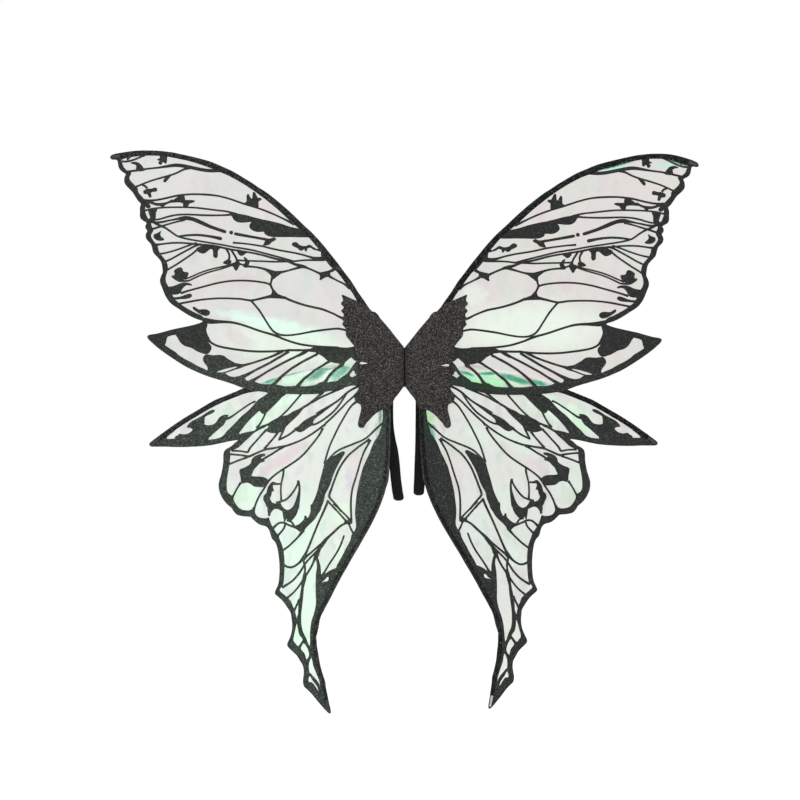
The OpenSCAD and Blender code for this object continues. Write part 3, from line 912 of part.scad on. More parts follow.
back_panel();
spine_fold();
left_strap();
right_strap();
left_strap_top_patch();
left_strap_low_patch();
right_strap_top_patch();
right_strap_low_patch();
left_root_cover();
left_root_backing();
left_upper_film();
left_upper_print();
left_upper_wire();
left_upper_binding();
left_upper_tip_cap();
left_lower_film();
left_lower_print();
left_lower_wire();
left_lower_binding();
left_lower_tip_cap();
left_tail_wire();
left_tail_binding();
left_tail_tip_cap();
right_root_cover();
right_root_backing();
right_upper_film();
right_upper_print();
right_upper_wire();
right_upper_binding();
right_upper_tip_cap();
right_lower_film();
right_lower_print();
right_lower_wire();
right_lower_binding();
right_lower_tip_cap();
right_tail_wire();
right_tail_binding();
right_tail_tip_cap();
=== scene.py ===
import math

import bmesh
import bpy
import numpy as np
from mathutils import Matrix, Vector, noise
from mathutils.geometry import delaunay_2d_cdt


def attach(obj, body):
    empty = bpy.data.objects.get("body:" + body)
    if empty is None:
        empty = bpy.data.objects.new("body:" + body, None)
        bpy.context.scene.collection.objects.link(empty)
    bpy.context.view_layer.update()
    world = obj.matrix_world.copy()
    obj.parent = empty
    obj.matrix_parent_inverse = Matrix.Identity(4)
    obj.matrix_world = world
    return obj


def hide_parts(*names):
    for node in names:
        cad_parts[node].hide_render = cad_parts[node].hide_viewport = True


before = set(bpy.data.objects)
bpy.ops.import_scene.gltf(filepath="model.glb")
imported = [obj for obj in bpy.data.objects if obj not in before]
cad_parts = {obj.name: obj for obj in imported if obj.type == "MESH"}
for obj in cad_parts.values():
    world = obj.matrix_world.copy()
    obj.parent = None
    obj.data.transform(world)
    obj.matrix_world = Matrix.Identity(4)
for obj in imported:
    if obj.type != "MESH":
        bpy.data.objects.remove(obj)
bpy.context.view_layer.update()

# Every length here is in millimetres until place() or behind() turns it into metres.
MM = 0.001
# One unit of UV is this long. Round a wire or a tape each step is 0.01 instead, on the straps a unit
# is 1 mm, and on the spine fold it is about that.
UV_UNIT = 100
SWEEP = math.radians(5)
FOLD_Y = -11.8
RIGHT_LEAN = 0.023
RIGHT_SIZE = 0.985
TAIL_TURN = 0.04
UPPER_DROOP = 0.013
SLIT_DROP = 3.2
TIP_BEND = 0.0016
# Where the right tail starts to turn out, and where the right upper tip starts to bend.
TAIL_START = -380
TIP_START = 380
# The film lies still up to this far out and down, and moves freely this much further.
STILL_OUT = 90
STILL_DOWN = 92
STILL_FADE = 110

# Distances forward from the back of the felt backing, as in the CAD.
LOWER_FILM = 1.6
LOWER_FACE = 2.2
UPPER_FACE = 4.7
COVER_BACK = 6.6
COVER_FRONT = 9.0
SIDES = ("left", "right")
# The felt covers' cloth simulation: its last frame, the sewn edge, the most it may rise and sink.
LAST_FRAME = 18
SEAM = 1.8
MOST_SWELL = 1.1
MOST_SINK = 0.1
# The points of a felt shape: steps along its outline and slits, rows drawn in from them, how far in
# the grid starts, the share of that distance that is enough, and the least gap between two points.
OUTLINE_STEP = 1.3
SLIT_STEP = 0.9
INSETS = (0.7, 1.6, 3.0)
GRID_INSET = 4.2
ENOUGH = 0.86
CLOSEST = 0.45

LEAD_LINE = [
    (28, 46), (40, 64), (53, 82.4), (66, 101.4), (75.4, 116), (84, 128), (93, 140), (104, 154.2),
    (115, 168.2), (126, 182.6), (140, 198.4), (155, 212.4), (170, 225.8), (185, 239.2), (200, 251.4),
    (215, 262.8), (230, 273), (245, 282.4), (260, 290.4), (275, 296.8), (290, 302.8), (305, 308.2),
    (320, 312.6), (335, 316.2), (350, 319.2), (365, 321), (380, 321.6), (395, 320.8), (410, 318.8),
    (424, 315.8),
]
LOWER_LINE = [
    (30, -8), (50, -12), (70, -16.4), (88, -21), (105, -26), (125, -30.4), (145, -32.6), (165, -33),
    (185, -32.2), (205, -31), (222, -31.4), (238, -34), (252, -38.8), (267, -44.8), (282, -51.2),
    (297, -59.4), (312, -68.2), (327, -77.2), (342, -87), (355, -96.2), (368, -105.6),
]
TAIL_LINE = [
    (32, -24), (27, -36), (25, -52), (24.6, -70), (24.6, -90), (24.8, -108), (25.4, -122),
    (26.4, -136), (27.4, -148), (28.8, -159.6), (30.4, -169.6), (32.4, -179.6), (35.4, -189.6),
    (38.8, -199.6), (43, -209.6), (47.4, -219.6), (52.2, -229.6), (57.6, -240), (63.4, -251),
    (69.6, -261.6), (75.6, -271.6), (81.4, -281.6), (87.4, -291.6), (93.4, -302), (99.4, -312.6),
    (105.2, -323), (110.8, -334), (116.4, -345), (121.8, -356), (126.8, -367), (130.6, -377),
    (133, -388), (134.6, -397), (136.2, -405), (135.6, -418), (134, -430), (131.8, -441),
    (129, -452), (125.8, -464), (122.6, -476), (120, -488), (117.8, -499),
]
PAD_EDGE = [
    (0.3, 31.4), (10.6, 44.4), (23, 60), (36.2, 75.2), (38.2, 78.6), (41, 82), (45, 85), (48.7, 85.7),
    (56, 93), (64, 98.4), (72, 101.4), (78, 104), (85, 107), (90, 109.2), (94.5, 110.5),
    (93.4, 106), (92.6, 101.6), (95.4, 98.4), (95, 95.4), (91.8, 92.4), (92, 90), (95.2, 87),
    (94, 84), (91.6, 81.4), (92, 78), (94.6, 74.4), (91.8, 70.6), (93.8, 66.2), (91.2, 62.6),
    (88.8, 60), (88.4, 55), (88.2, 50), (86, 46), (82, 41), (78, 36), (75.4, 32), (74, 22),
    (73, 12), (70, 7), (68.6, 1), (69.4, -5), (71, -9.6), (69, -13.4), (69.6, -20), (68.6, -26),
    (69.6, -32), (73, -37), (75.4, -42), (74.5, -48.8), (70, -53), (66, -55.4), (65.2, -62),
    (67, -70), (69.4, -79.8), (69.8, -86), (67.7, -89.4), (64, -90.2), (60.6, -88.6), (57, -82.6),
    (52, -77.6), (46.6, -71.6), (41, -67), (35, -63.6), (30, -62.4), (25, -62.4), (20.6, -58),
    (17.6, -52), (14, -45.3), (8.8, -39), (4.8, -33.4), (1.4, -28.8), (0.3, -26), (0.3, 0),
    (0.3, 29),
]
PAD_SLIT = [(67.2, 8.2), (64.4, 9.4), (60, 8.6), (55, 7.2), (59, 6.4), (63.4, 5.8), (66.8, 6.4)]
# The lower edge of the upper film near the root. Below it the felt lies on the lower wing alone.
UPPER_FOOT = [(19, 24), (22, 6), (28, -8), (42, -18), (62, -23), (80, -26.4)]
PANEL_HALF = [
    (0, 31), (12, 38), (24, 52), (36, 64), (46, 66), (54, 58), (58, 40), (55, 20), (54.6, 0),
    (57, -20), (56, -40), (50, -54), (36, -58), (24, -54), (18, -46), (12, -38), (0, -28),
]
# Strap loops: how far behind the panel, how high, and how far from the middle.
LOOP_START = [
    (0.8, 16, 25), (0.8, 26, 25), (0.8, 34, 25), (3, 40.5, 25), (8, 45.5, 25), (15, 48, 25),
    (22, 46.5, 25), (28, 41, 25), (32.5, 32, 25), (35.4, 19, 25), (37, 0, 25), (38, -28, 25),
    (38, -58, 25),
]
LOOP_END = [(2.6, -68, 25), (1.8, -52, 25), (0.8, -42, 25), (0.8, -34, 25), (0.8, -26, 25)]
LEFT_LOOP = LOOP_START + [
    (37.4, -84, 24.6), (36.6, -106, 21.8), (35.4, -124, 17.8), (34, -142, 15.4),
    (32, -160, 13.8), (29.4, -174, 12.4), (25.6, -187, 10.8), (20, -195.6, 9.6), (14, -200, 9),
    (9, -198.4, 9), (5.8, -192, 9.8), (4.4, -180, 11.4), (3.8, -166, 13.2), (3.4, -148, 14.8),
    (3.2, -130, 16.8), (3, -110, 21), (2.8, -90, 24.4),
] + LOOP_END
RIGHT_LOOP = LOOP_START + [
    (37.4, -84, 24.8), (36.6, -104, 24.6), (35.4, -122, 24.2), (34, -138, 23.6),
    (32, -154, 23), (29.4, -167, 22.6), (25.6, -179.6, 22), (20, -187.8, 21.8),
    (14, -192, 21.7), (9, -190.4, 21.8), (5.8, -184, 22.2), (4.4, -172, 23), (3.8, -158, 23.4),
    (3.4, -142, 23.8), (3.2, -126, 24.2), (3, -108, 24.6), (2.8, -88, 25),
] + LOOP_END


# ------------ places and shapes


def smooth(t):
    t = min(max(t, 0.0), 1.0)
    return t * t * (3 - 2 * t)


def lean(p, side):
    """The lower right wing is a little smaller, leans outward and turns out at the tail's end."""
    if side == "left":
        return p
    turn = TAIL_TURN * max(0, TAIL_START - p[1])
    return (RIGHT_SIZE * (p[0] - RIGHT_LEAN * p[1]) + turn, RIGHT_SIZE * p[1])


def droop(p, side):
    """The upper right wing droops a little toward its tip."""
    return p if side == "left" else (p[0], p[1] - UPPER_DROOP * p[0])


def place(side, u, v, depth):
    """A point of a wing, u outward, v up and depth forward, in the row frame in metres.

    The end of the right upper tip bends down.
    """
    if side == "right":
        v -= TIP_BEND * max(0, u - TIP_START) ** 2
    back = COVER_FRONT - depth
    x = u * math.cos(SWEEP) + back * math.sin(SWEEP)
    y = FOLD_Y - u * math.sin(SWEEP) + back * math.cos(SWEEP)
    way = -1 if side == "left" else 1
    return Vector((way * x * MM, y * MM, v * MM))


def unplace(side, co):
    """The other way round: (u, depth, v) of a point in the row frame."""
    way = -1 if side == "left" else 1
    x = way * co.x / MM
    y = co.y / MM - FOLD_Y
    u = x * math.cos(SWEEP) - y * math.sin(SWEEP)
    back = x * math.sin(SWEEP) + y * math.cos(SWEEP)
    return Vector((u, COVER_FRONT - back, co.z / MM))


def wave(side, u, v):
    """How far the taut film bows forward. It is still under the felt covers."""
    free = smooth(max((u - STILL_OUT) / STILL_FADE, (-v - STILL_DOWN) / STILL_FADE))
    turn = 0.0 if side == "left" else 1.9
    bow = 1.25 * math.sin(u / 24 + v / 39 + 0.6 + turn)
    bow += 0.75 * math.sin(u / 15.5 - v / 21 + 1.9 - turn)
    bow += 0.35 * math.sin(u / 9.5 + v / 8.2 + turn)
    return free * bow


def catmull(points, pieces, closed=False):
    """More points on a smooth curve through the given ones."""
    n = len(points)
    found = []
    for i in range(n if closed else n - 1):
        if closed:
            a, b, c, d = (points[(i + k) % n] for k in (-1, 0, 1, 2))
        else:
            a, b, c, d = (points[min(max(i + k, 0), n - 1)] for k in (-1, 0, 1, 2))
        a, b, c, d = (np.array(q, float) for q in (a, b, c, d))
        for k in range(pieces):
            t = k / pieces
            found.append(
                0.5 * (2 * b + (c - a) * t + (2 * a - 5 * b + 4 * c - d) * t**2
                       + (3 * b - a - 3 * c + d) * t**3)
            )
    if not closed:
        found.append(np.array(points[-1], float))
    return found


def even(points, step, closed=False):
    """The same line with points at even distances."""
    p = np.array(list(points) + ([points[0]] if closed else []), float)
    run = np.concatenate([[0], np.cumsum(np.linalg.norm(np.diff(p, axis=0), axis=1))])
    count = max(2, int(round(run[-1] / step)) + 1)
    at = np.linspace(0, run[-1], count)
    out = np.stack([np.interp(at, run, p[:, k]) for k in range(p.shape[1])], axis=1)
    return out[:-1] if closed else out


def heading(line, i):
    """The direction of a line at its point number i, two coordinates, of length 1."""
    t = np.array(line[min(i + 1, len(line) - 1)])[:2] - np.array(line[max(i - 1, 0)])[:2]
    return t / np.linalg.norm(t)


def lengths(line):
    """How far along the line each of its points is."""
    steps = np.linalg.norm(np.diff(np.array(line), axis=0), axis=1)
    return [0.0, *np.cumsum(steps)]


def to_line(points, line):
    """How far each point is from an open line."""
    p = np.asarray(points, float)[:, None, :]
    q = np.asarray(line, float)
    a = q[None, :-1, :]
    d = q[None, 1:, :] - a
    t = np.clip(((p - a) * d).sum(2) / np.maximum((d * d).sum(2), 1e-12), 0, 1)
    return np.linalg.norm(p - a - t[:, :, None] * d, axis=2).min(1)


def to_edges(points, ring):
    """How far each point is from a closed ring."""
    return to_line(points, np.concatenate([ring, ring[:1]]))


def inside(points, ring):
    """Which points are inside a ring."""
    p = np.asarray(points, float)
    r = np.asarray(ring, float)
    within = np.zeros(len(p), bool)
    for a, b in zip(r, np.roll(r, -1, axis=0)):
        if a[1] == b[1]:
            continue
        spans = (a[1] > p[:, 1]) != (b[1] > p[:, 1])
        within ^= spans & (p[:, 0] < (b[0] - a[0]) * (p[:, 1] - a[1]) / (b[1] - a[1]) + a[0])
    return within


# ------------ making pieces


def link(thing):
    bpy.context.scene.collection.objects.link(thing)


def finish_piece(name, bm, body, material, replaces=(), corner=40):
    """A mesh object of this name, smooth but for its corners, that rides on a body."""
    mesh = bpy.data.meshes.new(name)
    bmesh.ops.recalc_face_normals(bm, faces=bm.faces)
    bm.normal_update()
    bm.to_mesh(mesh)
    bm.free()
    mesh.shade_smooth()
    mesh.set_sharp_from_angle(angle=math.radians(corner))
    piece = bpy.data.objects.new(name, mesh)
    link(piece)
    mesh.materials.append(material)
    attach(piece, body)
    if replaces:
        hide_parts(*replaces)
    return piece


def sweep_mesh(bm, rows, uvs=None):
    """Skins rings of points, each a closed section, and caps the two ends."""
    layer = bm.loops.layers.uv.verify()
    made = [[bm.verts.new(p) for p in row] for row in rows]
    n = len(made[0])
    for i in range(len(made) - 1):
        for k in range(n):
            m = (k + 1) % n
            face = bm.faces.new((made[i][k], made[i][m], made[i + 1][m], made[i + 1][k]))
            if uvs is not None:
                corners = ((k, i), (k + 1, i), (k + 1, i + 1), (k, i + 1))
                for loop, (a, b) in zip(face.loops, corners):
                    loop[layer].uv = (uvs[0][a], uvs[1][b])
    bm.faces.new(list(reversed(made[0])))
    bm.faces.new(made[-1])


def swept_piece(name, rows, uvs, body, material, node, corner):
    bm = bmesh.new()
    sweep_mesh(bm, rows, uvs)
    return finish_piece(name, bm, body, material, [node], corner=corner)


def swollen(points, triangles, heights, edge):
    """Felt sewn down along its edge and puffed up between: a short cloth simulation."""
    scene = bpy.context.scene
    mesh = bpy.data.meshes.new("swelling")
    mesh.from_pydata([(p[0] * MM, p[1] * MM, h * MM) for p, h in zip(points, heights)], [],
                     triangles.tolist())
    sheet = bpy.data.objects.new("swelling", mesh)
    link(sheet)
    sewn = sheet.vertex_groups.new(name="sewn")
    sewn.add([int(i) for i in np.flatnonzero(edge < SEAM)], 1.0, "REPLACE")
    cloth = sheet.modifiers.new("cloth", "CLOTH")
    rules = cloth.settings
    rules.quality = 6
    rules.mass = 0.3
    rules.tension_stiffness = 20
    rules.compression_stiffness = 20
    rules.bending_stiffness = 1.5
    rules.vertex_group_mass = "sewn"
    rules.use_pressure = True
    rules.uniform_pressure_force = 4
    rules.shrink_min = -0.03
    rules.effector_weights.gravity = 0
    cloth.point_cache.frame_start = 1
    cloth.point_cache.frame_end = LAST_FRAME
    for moment in range(1, LAST_FRAME + 1):
        scene.frame_set(moment)
    settled = sheet.evaluated_get(bpy.context.evaluated_depsgraph_get()).data
    risen = np.array([v.co.z / MM for v in settled.vertices]) - heights
    bpy.data.objects.remove(sheet)
    bpy.data.meshes.remove(mesh)
    scene.frame_set(1)
    return heights + MOST_SWELL * np.tanh(np.maximum(risen, -MOST_SINK) / MOST_SWELL)


def rounded(ring, step):
    """A closed smooth curve through a ring, with points at even distances."""
    return even(catmull(ring, 4, closed=True), step, closed=True)


def flat_felt(name, ring, slits, stand, top, bottom, body, material, replaces=(), step=3.0,
              swell=None):
    """A felt shape from its outline: top() and bottom() give the heights of its two faces."""
    outline = rounded(ring, OUTLINE_STEP)
    outline = np.clip(outline, np.min(ring, axis=0), np.max(ring, axis=0))
    rings = [outline] + [rounded(s, SLIT_STEP) for s in slits]
    fixed = np.concatenate(rings)
    edges, start = [], 0
    for r in rings:
        edges += [(start + i, start + (i + 1) % len(r)) for i in range(len(r))]
        start += len(r)
    free = []
    for inset in INSETS:
        for r in rings:
            tangent = np.roll(r, -1, axis=0) - np.roll(r, 1, axis=0)
            normal = np.stack([tangent[:, 1], -tangent[:, 0]], axis=1)
            normal /= np.maximum(np.linalg.norm(normal, axis=1)[:, None], 1e-9)
            for way in (-1, 1):
                free.append((r + way * inset * normal)[:: 1 if inset < 1 else 2])
    low, high = outline.min(0), outline.max(0)
    ys = np.arange(low[1], high[1], step * 0.866)
    for i, y in enumerate(ys):
        xs = np.arange(low[0] + (step / 2 if i % 2 else 0), high[0], step)
        free.append(np.stack([xs, np.full(len(xs), y)], axis=1))
    kept = fixed
    for k, group in enumerate(free):
        ok = inside(group, outline)
        for r in rings[1:]:
            ok &= ~inside(group, r)
        group = group[ok]
        edge = np.min([to_edges(group, r) for r in rings], axis=0)
        lot = k // (2 * len(rings))
        inset = INSETS[lot] if lot < len(INSETS) else GRID_INSET
        group = group[edge > inset * ENOUGH]
        if k and len(group):
            near = np.array([np.min(np.hypot(*(kept - g).T)) for g in group])
            group = group[near > CLOSEST]
        kept = np.concatenate([kept, group])
    made = delaunay_2d_cdt([Vector(p) for p in kept], edges, [], 0, 1e-6)
    points = np.array([tuple(p) for p in made[0]])
    triangles = np.array(made[2])
    middle = points[triangles].mean(1)
    ok = inside(middle, outline)
    for r in rings[1:]:
        ok &= ~inside(middle, r)
    triangles = triangles[ok]
    used, triangles = np.unique(triangles, return_inverse=True)
    points, triangles = points[used], triangles.reshape(-1, 3)
    edge = np.min([to_edges(points, r) for r in rings], axis=0)
    links = {tuple(sorted((t[a], t[b]))) for t in triangles for a, b in ((0, 1), (1, 2), (2, 0))}
    under = bottom(points, edge, np.array(sorted(links)))
    over = top(points, edge, under)
    if swell:
        over = swell(points, triangles, over, edge)
    bm = bmesh.new()
    layer = bm.loops.layers.uv.verify()
    front = [bm.verts.new(stand(p[0], p[1], h)) for p, h in zip(points, over)]
    back = [bm.verts.new(stand(p[0], p[1], h)) for p, h in zip(points, under)]
    bm.verts.index_update()
    spot = {}
    for group in (front, back):
        for vert, p in zip(group, points):
            spot[vert] = p / UV_UNIT
    for a, b, c in triangles:
        bm.faces.new((front[a], front[b], front[c]))
        bm.faces.new((back[c], back[b], back[a]))
    rim = {}
    for t in triangles:
        for a, b in ((t[0], t[1]), (t[1], t[2]), (t[2], t[0])):
            rim.setdefault(tuple(sorted((a, b))), []).append((a, b))
    for pairs in rim.values():
        if len(pairs) == 1:
            a, b = pairs[0]
            bm.faces.new((front[b], front[a], back[a], back[b]))
    for face in bm.faces:
        for loop in face.loops:
            loop[layer].uv = spot[loop.vert]
    return finish_piece(name, bm, body, material, replaces, corner=50)


# ------------ materials


def colour(code):
    """A linear colour from a hex code."""
    parts = [int(code[i:i + 2], 16) / 255 for i in (0, 2, 4)]
    return [p / 12.92 if p <= 0.04045 else ((p + 0.055) / 1.055) ** 2.4 for p in parts] + [1.0]


def add(tree, kind, links=None, **settings):
    """A shader node with its settings, its inputs given as values or as sockets to link."""
    made = tree.nodes.new("ShaderNode" + kind)
    for key, value in settings.items():
        setattr(made, key, value)
    for socket, value in (links or {}).items():
        if isinstance(value, bpy.types.NodeSocket):
            tree.links.new(value, made.inputs[socket])
        else:
            made.inputs[socket].default_value = value
    return made


def new_material(name):
    material = bpy.data.materials.new(name)
    material.use_nodes = True
    tree = material.node_tree
    tree.nodes.clear()
    return material, tree


def ramp(tree, factor, stops):
    """A colour ramp with stops given as (place, hex code)."""
    made = add(tree, "ValToRGB", {"Fac": factor})
    while len(made.color_ramp.elements) < len(stops):
        made.color_ramp.elements.new(0.5)
    for element, (at, code) in zip(made.color_ramp.elements, stops):
        element.position = at
        element.color = colour(code)
    return made.outputs["Color"]


def scaled(tree, factor, low, high):
    """A value from 0 to 1 stretched to low and high."""
    return add(tree, "MapRange", {0: factor, 3: low, 4: high}).outputs[0]


def maths(tree, operation, a, b=0.0):
    return add(tree, "Math", {0: a, 1: b}, operation=operation).outputs[0]


def times(tree, a, b):
    return maths(tree, "MULTIPLY", a, b)


def vectors(tree, operation, inputs):
    return add(tree, "VectorMath", inputs, operation=operation).outputs[0]


def mix(tree, factor, a, b, blend="MIX"):
    made = add(tree, "Mix", {0: factor, 6: a, 7: b}, data_type="RGBA", blend_type=blend)
    return made.outputs[2]


def cloudy(tree, spot, scale, detail, distortion=0.0):
    """Soft noise, from 0 to 1."""
    return add(tree, "TexNoise", {
        "Vector": spot, "Scale": scale, "Detail": detail, "Distortion": distortion}).outputs["Fac"]


def bumped(tree, strength, distance, height):
    """A normal bent as if the height stood up by this distance in metres."""
    return add(tree, "Bump",
               {"Strength": strength, "Distance": distance, "Height": height}).outputs[0]


def surfaced(tree, inputs):
    """Ends a material in one principled surface with these inputs."""
    surface = add(tree, "BsdfPrincipled", inputs)
    add(tree, "OutputMaterial", {"Surface": surface.outputs[0]})


def speckled(name, tones, cell, sparkle, rough=(0.45, 0.85), bump=0.5, fibre=0.2, tint=None,
             flashes=("8f8a7c", "9aa6a2"), gloss=0.3, sheen=0.04):
    """Glitter on cloth: small random cells, some of them bright and smooth, over a fibre grain."""
    material, tree = new_material(name)
    spot = add(tree, "TexCoord").outputs["Object"]
    cells = add(tree, "TexVoronoi", {"Vector": spot, "Scale": 1000 / cell})
    fine = add(tree, "TexVoronoi", {"Vector": spot, "Scale": 2300 / cell})
    grain = cloudy(tree, spot, 900.0, 3.0)
    cloud = cloudy(tree, spot, 32.0, 3.0)
    pick = add(tree, "SeparateColor", {"Color": cells.outputs["Color"]})
    small = add(tree, "SeparateColor", {"Color": fine.outputs["Color"]})
    level = times(tree, pick.outputs[0], 0.62)
    level = maths(tree, "ADD", level, times(tree, small.outputs[0], 0.38))
    base = ramp(tree, level, tones)
    base = mix(tree, 0.35, base, ramp(tree, cloud, [(0.3, "8a8a8a"), (0.7, "ffffff")]), "MULTIPLY")
    bright = add(tree, "Math", {0: small.outputs[1], 1: sparkle}, operation="GREATER_THAN")
    flash = mix(tree, pick.outputs[1], colour(flashes[0]), colour(flashes[1]))
    base = mix(tree, times(tree, bright.outputs[0], 0.75), base, flash)
    if tint is not None:
        base = tint(tree, base)
    shine = scaled(tree, small.outputs[1], rough[1], rough[0])
    height = maths(tree, "ADD", times(tree, small.outputs[2], bump),
                   times(tree, grain, fibre))
    surfaced(tree, {"Base Color": base, "Roughness": shine, "Normal": bumped(tree, 0.55, 0.0004, height),
                    "Specular IOR Level": gloss, "Sheen Weight": sheen})
    return material


def patches(tree, spot, marks):
    """Soft-edged ellipses: (u, v, half length, half width, turn in degrees, strength)."""
    total = None
    for u, v, long, wide, turn, strength in marks:
        moved = add(tree, "Mapping", {
            "Vector": spot,
            "Location": (u / UV_UNIT, v / UV_UNIT, 0),
            "Rotation": (0, 0, math.radians(turn)),
            "Scale": (long / UV_UNIT, wide / UV_UNIT, 1),
        }, vector_type="TEXTURE")
        far = add(tree, "VectorMath", {0: moved.outputs[0]}, operation="LENGTH")
        near = add(tree, "MapRange",
                   {0: far.outputs["Value"], 1: 1.15, 2: 0.35, 3: 0.0, 4: strength},
                   interpolation_type="SMOOTHSTEP")
        total = near.outputs[0] if total is None else maths(tree, "MAXIMUM", total, near.outputs[0])
    return total


def film(name, tones, streaks, soft, sharp):
    """Clear iridescent film: it tints what is behind it and mirrors a little of what is before it.

    Over its wandering tones lie soft patches and sharper mottled ones, each (hex code, ellipses).
    """
    material, tree = new_material(name)
    spot = add(tree, "UVMap", uv_map="wing").outputs[0]
    drift = add(tree, "TexNoise", {"Vector": spot, "Scale": 5.0, "Detail": 2.0})
    drift = vectors(tree, "SUBTRACT", {0: drift.outputs["Color"], 1: (0.5, 0.5, 0.5)})
    drift = vectors(tree, "SCALE", {0: drift, 3: 0.22})
    loose = vectors(tree, "ADD", {0: spot, 1: drift})
    tight = vectors(tree, "ADD", {0: spot, 1: vectors(tree, "SCALE", {0: drift, 3: 0.2})})
    base = ramp(tree, cloudy(tree, spot, 1.7, 3.0), list(zip((0.32, 0.5, 0.62, 0.74), tones)))
    turned = add(tree, "Mapping", {
        "Vector": loose, "Rotation": (0, 0, 0.5), "Scale": (3.4, 1.5, 1)})
    streak = cloudy(tree, turned.outputs[0], 1.0, 3.0)
    for code, marks in soft:
        base = mix(tree, patches(tree, loose, marks), base, colour(code))
    base = mix(tree, 1.0, base, ramp(tree, streak, [
        (0.36, streaks[0]), (0.46, "ffffff"), (0.56, "ffffff"), (0.66, streaks[1])]), "MULTIPLY")
    mottle = scaled(tree, cloudy(tree, spot, 20.0, 4.0, 1.2), -0.2, 2.0)
    for code, marks in sharp:
        near = times(tree, patches(tree, tight, marks), mottle)
        base = mix(tree, near, base, colour(code))
    crease = cloudy(tree, spot, 6.0, 5.0, 0.6)
    clear = add(tree, "BsdfTransparent", {"Color": base})
    gleam = add(tree, "BsdfPrincipled", {
        "Base Color": base, "Roughness": scaled(tree, crease, 0.12, 0.3),
        "Normal": bumped(tree, 0.25, 0.002, crease), "IOR": 1.55,
        "Thin Film Thickness": 370.0, "Thin Film IOR": 1.7})
    both = add(tree, "MixShader", {0: 0.12, 1: clear.outputs[0], 2: gleam.outputs[0]})
    add(tree, "OutputMaterial", {"Surface": both.outputs[0]})
    return material


def woven(name, tones, across, along, deep=0.5):
    """Ribbed elastic: cords across the width and picks along the length, from the piece's own UV."""
    material, tree = new_material(name)
    spot = add(tree, "UVMap", uv_map="UVMap").outputs[0]
    part = add(tree, "SeparateXYZ", {0: spot})
    ribs = maths(tree, "SINE", times(tree, part.outputs[0], 2 * math.pi * across))
    picks = maths(tree, "SINE", times(tree, part.outputs[1], 2 * math.pi * along))
    weave = times(tree, times(tree, ribs, picks), 0.5)
    weave = maths(tree, "ADD", times(tree, ribs, 0.5), weave)
    local = add(tree, "TexCoord").outputs["Object"]
    fuzz = cloudy(tree, local, 1400.0, 4.0)
    worn = cloudy(tree, local, 60.0, 3.0)
    level = maths(tree, "ADD", times(tree, weave, 0.25), times(tree, fuzz, 0.5))
    level = maths(tree, "ADD", level, times(tree, worn, 0.4))
    height = maths(tree, "ADD", times(tree, weave, 0.6), fuzz)
    surfaced(tree, {
        "Base Color": ramp(tree, level, tones), "Roughness": scaled(tree, worn, 0.72, 0.92),
        "Normal": bumped(tree, deep, 0.0003, height), "Sheen Weight": 0.03, "Specular IOR Level": 0.12})
    return material


def moulded(name, dark, pale, metallic=0.0, rough=(0.3, 0.5), scale=140.0):
    """Plastic or metal with a fine uneven surface."""
    material, tree = new_material(name)
    spot = add(tree, "TexCoord").outputs["Object"]
    cloud = cloudy(tree, spot, scale, 4.0)
    pits = cloudy(tree, spot, 1800.0, 2.0)
    surfaced(tree, {
        "Base Color": ramp(tree, cloud, [(0.3, dark), (0.7, pale)]),
        "Roughness": scaled(tree, cloud, *rough),
        "Normal": bumped(tree, 0.2, 0.0002, pits), "Metallic": metallic})
    return material


def shade_sheen_and_ink(upper, lower, marks):
    """Multiplies the print by one tone on the upper wing and another on the lower, the right side's darker
    tones being painted shade, and paints green on it in places: a painted green sheen and green ink.
    """
    def tint(tree, base):
        spot = add(tree, "UVMap", uv_map="wing").outputs[0]
        part = add(tree, "SeparateXYZ", {0: spot})
        high = add(tree, "MapRange", {0: part.outputs[1], 1: -0.05, 2: 0.3}).outputs[0]
        base = mix(tree, 1.0, base, ramp(tree, high, [(0.0, lower), (1.0, upper)]), "MULTIPLY")
        for code, ellipses in marks:
            base = mix(tree, patches(tree, spot, ellipses), base, colour(code))
        return base

    return tint


# The first two lists are a painted green sheen on the print, by the felt covers and at the top of the tails.
# The third is green ink along the right leading edge, plus one painted sheen mark by the cover.
GREEN_SHEEN_LEFT = [(96, -16, 26, 7, -4, 0.4), (32, -76, 10, 22, 0, 0.5), (140, -28, 34, 6, 0, 0.35),
              (94, 126, 10, 20, -40, 0.6)]
GREEN_SHEEN_RIGHT = [(125, -24, 62, 10, -3, 0.75), (34, -82, 12, 30, 0, 0.5)]
GREEN_EDGE_RIGHT = [(322, 306, 50, 8, 14, 0.9), (404, 308, 24, 7, -10, 0.9), (94, 126, 10, 20, -40, 0.5)]

pad_felt = speckled("glitter felt", [(0.0, "090707"), (0.4, "151211"), (0.75, "2e2926"), (1.0, "6a625b")],
                    1.3, 0.93, rough=(0.5, 0.9), bump=0.6, fibre=0.5, flashes=("8c7f86", "8f9c92"),
                    gloss=0.2, sheen=0.02)
plain_felt = speckled("plain felt", [(0.0, "151514"), (0.5, "1f1f1e"), (1.0, "2c2c2a")],
                      2.6, 1.0, rough=(0.8, 0.95), bump=0.2, fibre=0.9)
# The right print's tones are darker than the left's. This is painted shade, since the light falls from the
# left.
prints = {
    "left": speckled("printed glitter lit left",
                     [(0.0, "141815"), (0.4, "20261f"), (0.75, "323a32"), (1.0, "5a675a")],
                     1.4, 0.95, flashes=("6f927a", "a2aea6"),
                     tint=shade_sheen_and_ink("a8a8a4", "f4f4f4", [("173a26", GREEN_SHEEN_LEFT)])),
    "right": speckled("printed glitter shaded right",
                      [(0.0, "0e110f"), (0.4, "171b18"), (0.75, "262c27"), (1.0, "465048")],
                      1.4, 0.96, flashes=("7c8a80", "a2aaa4"),
                      tint=shade_sheen_and_ink("a0a0a0", "c4c4c4",
                               [("0a2a12", GREEN_SHEEN_RIGHT), ("0c3a2b", GREEN_EDGE_RIGHT)])),
}
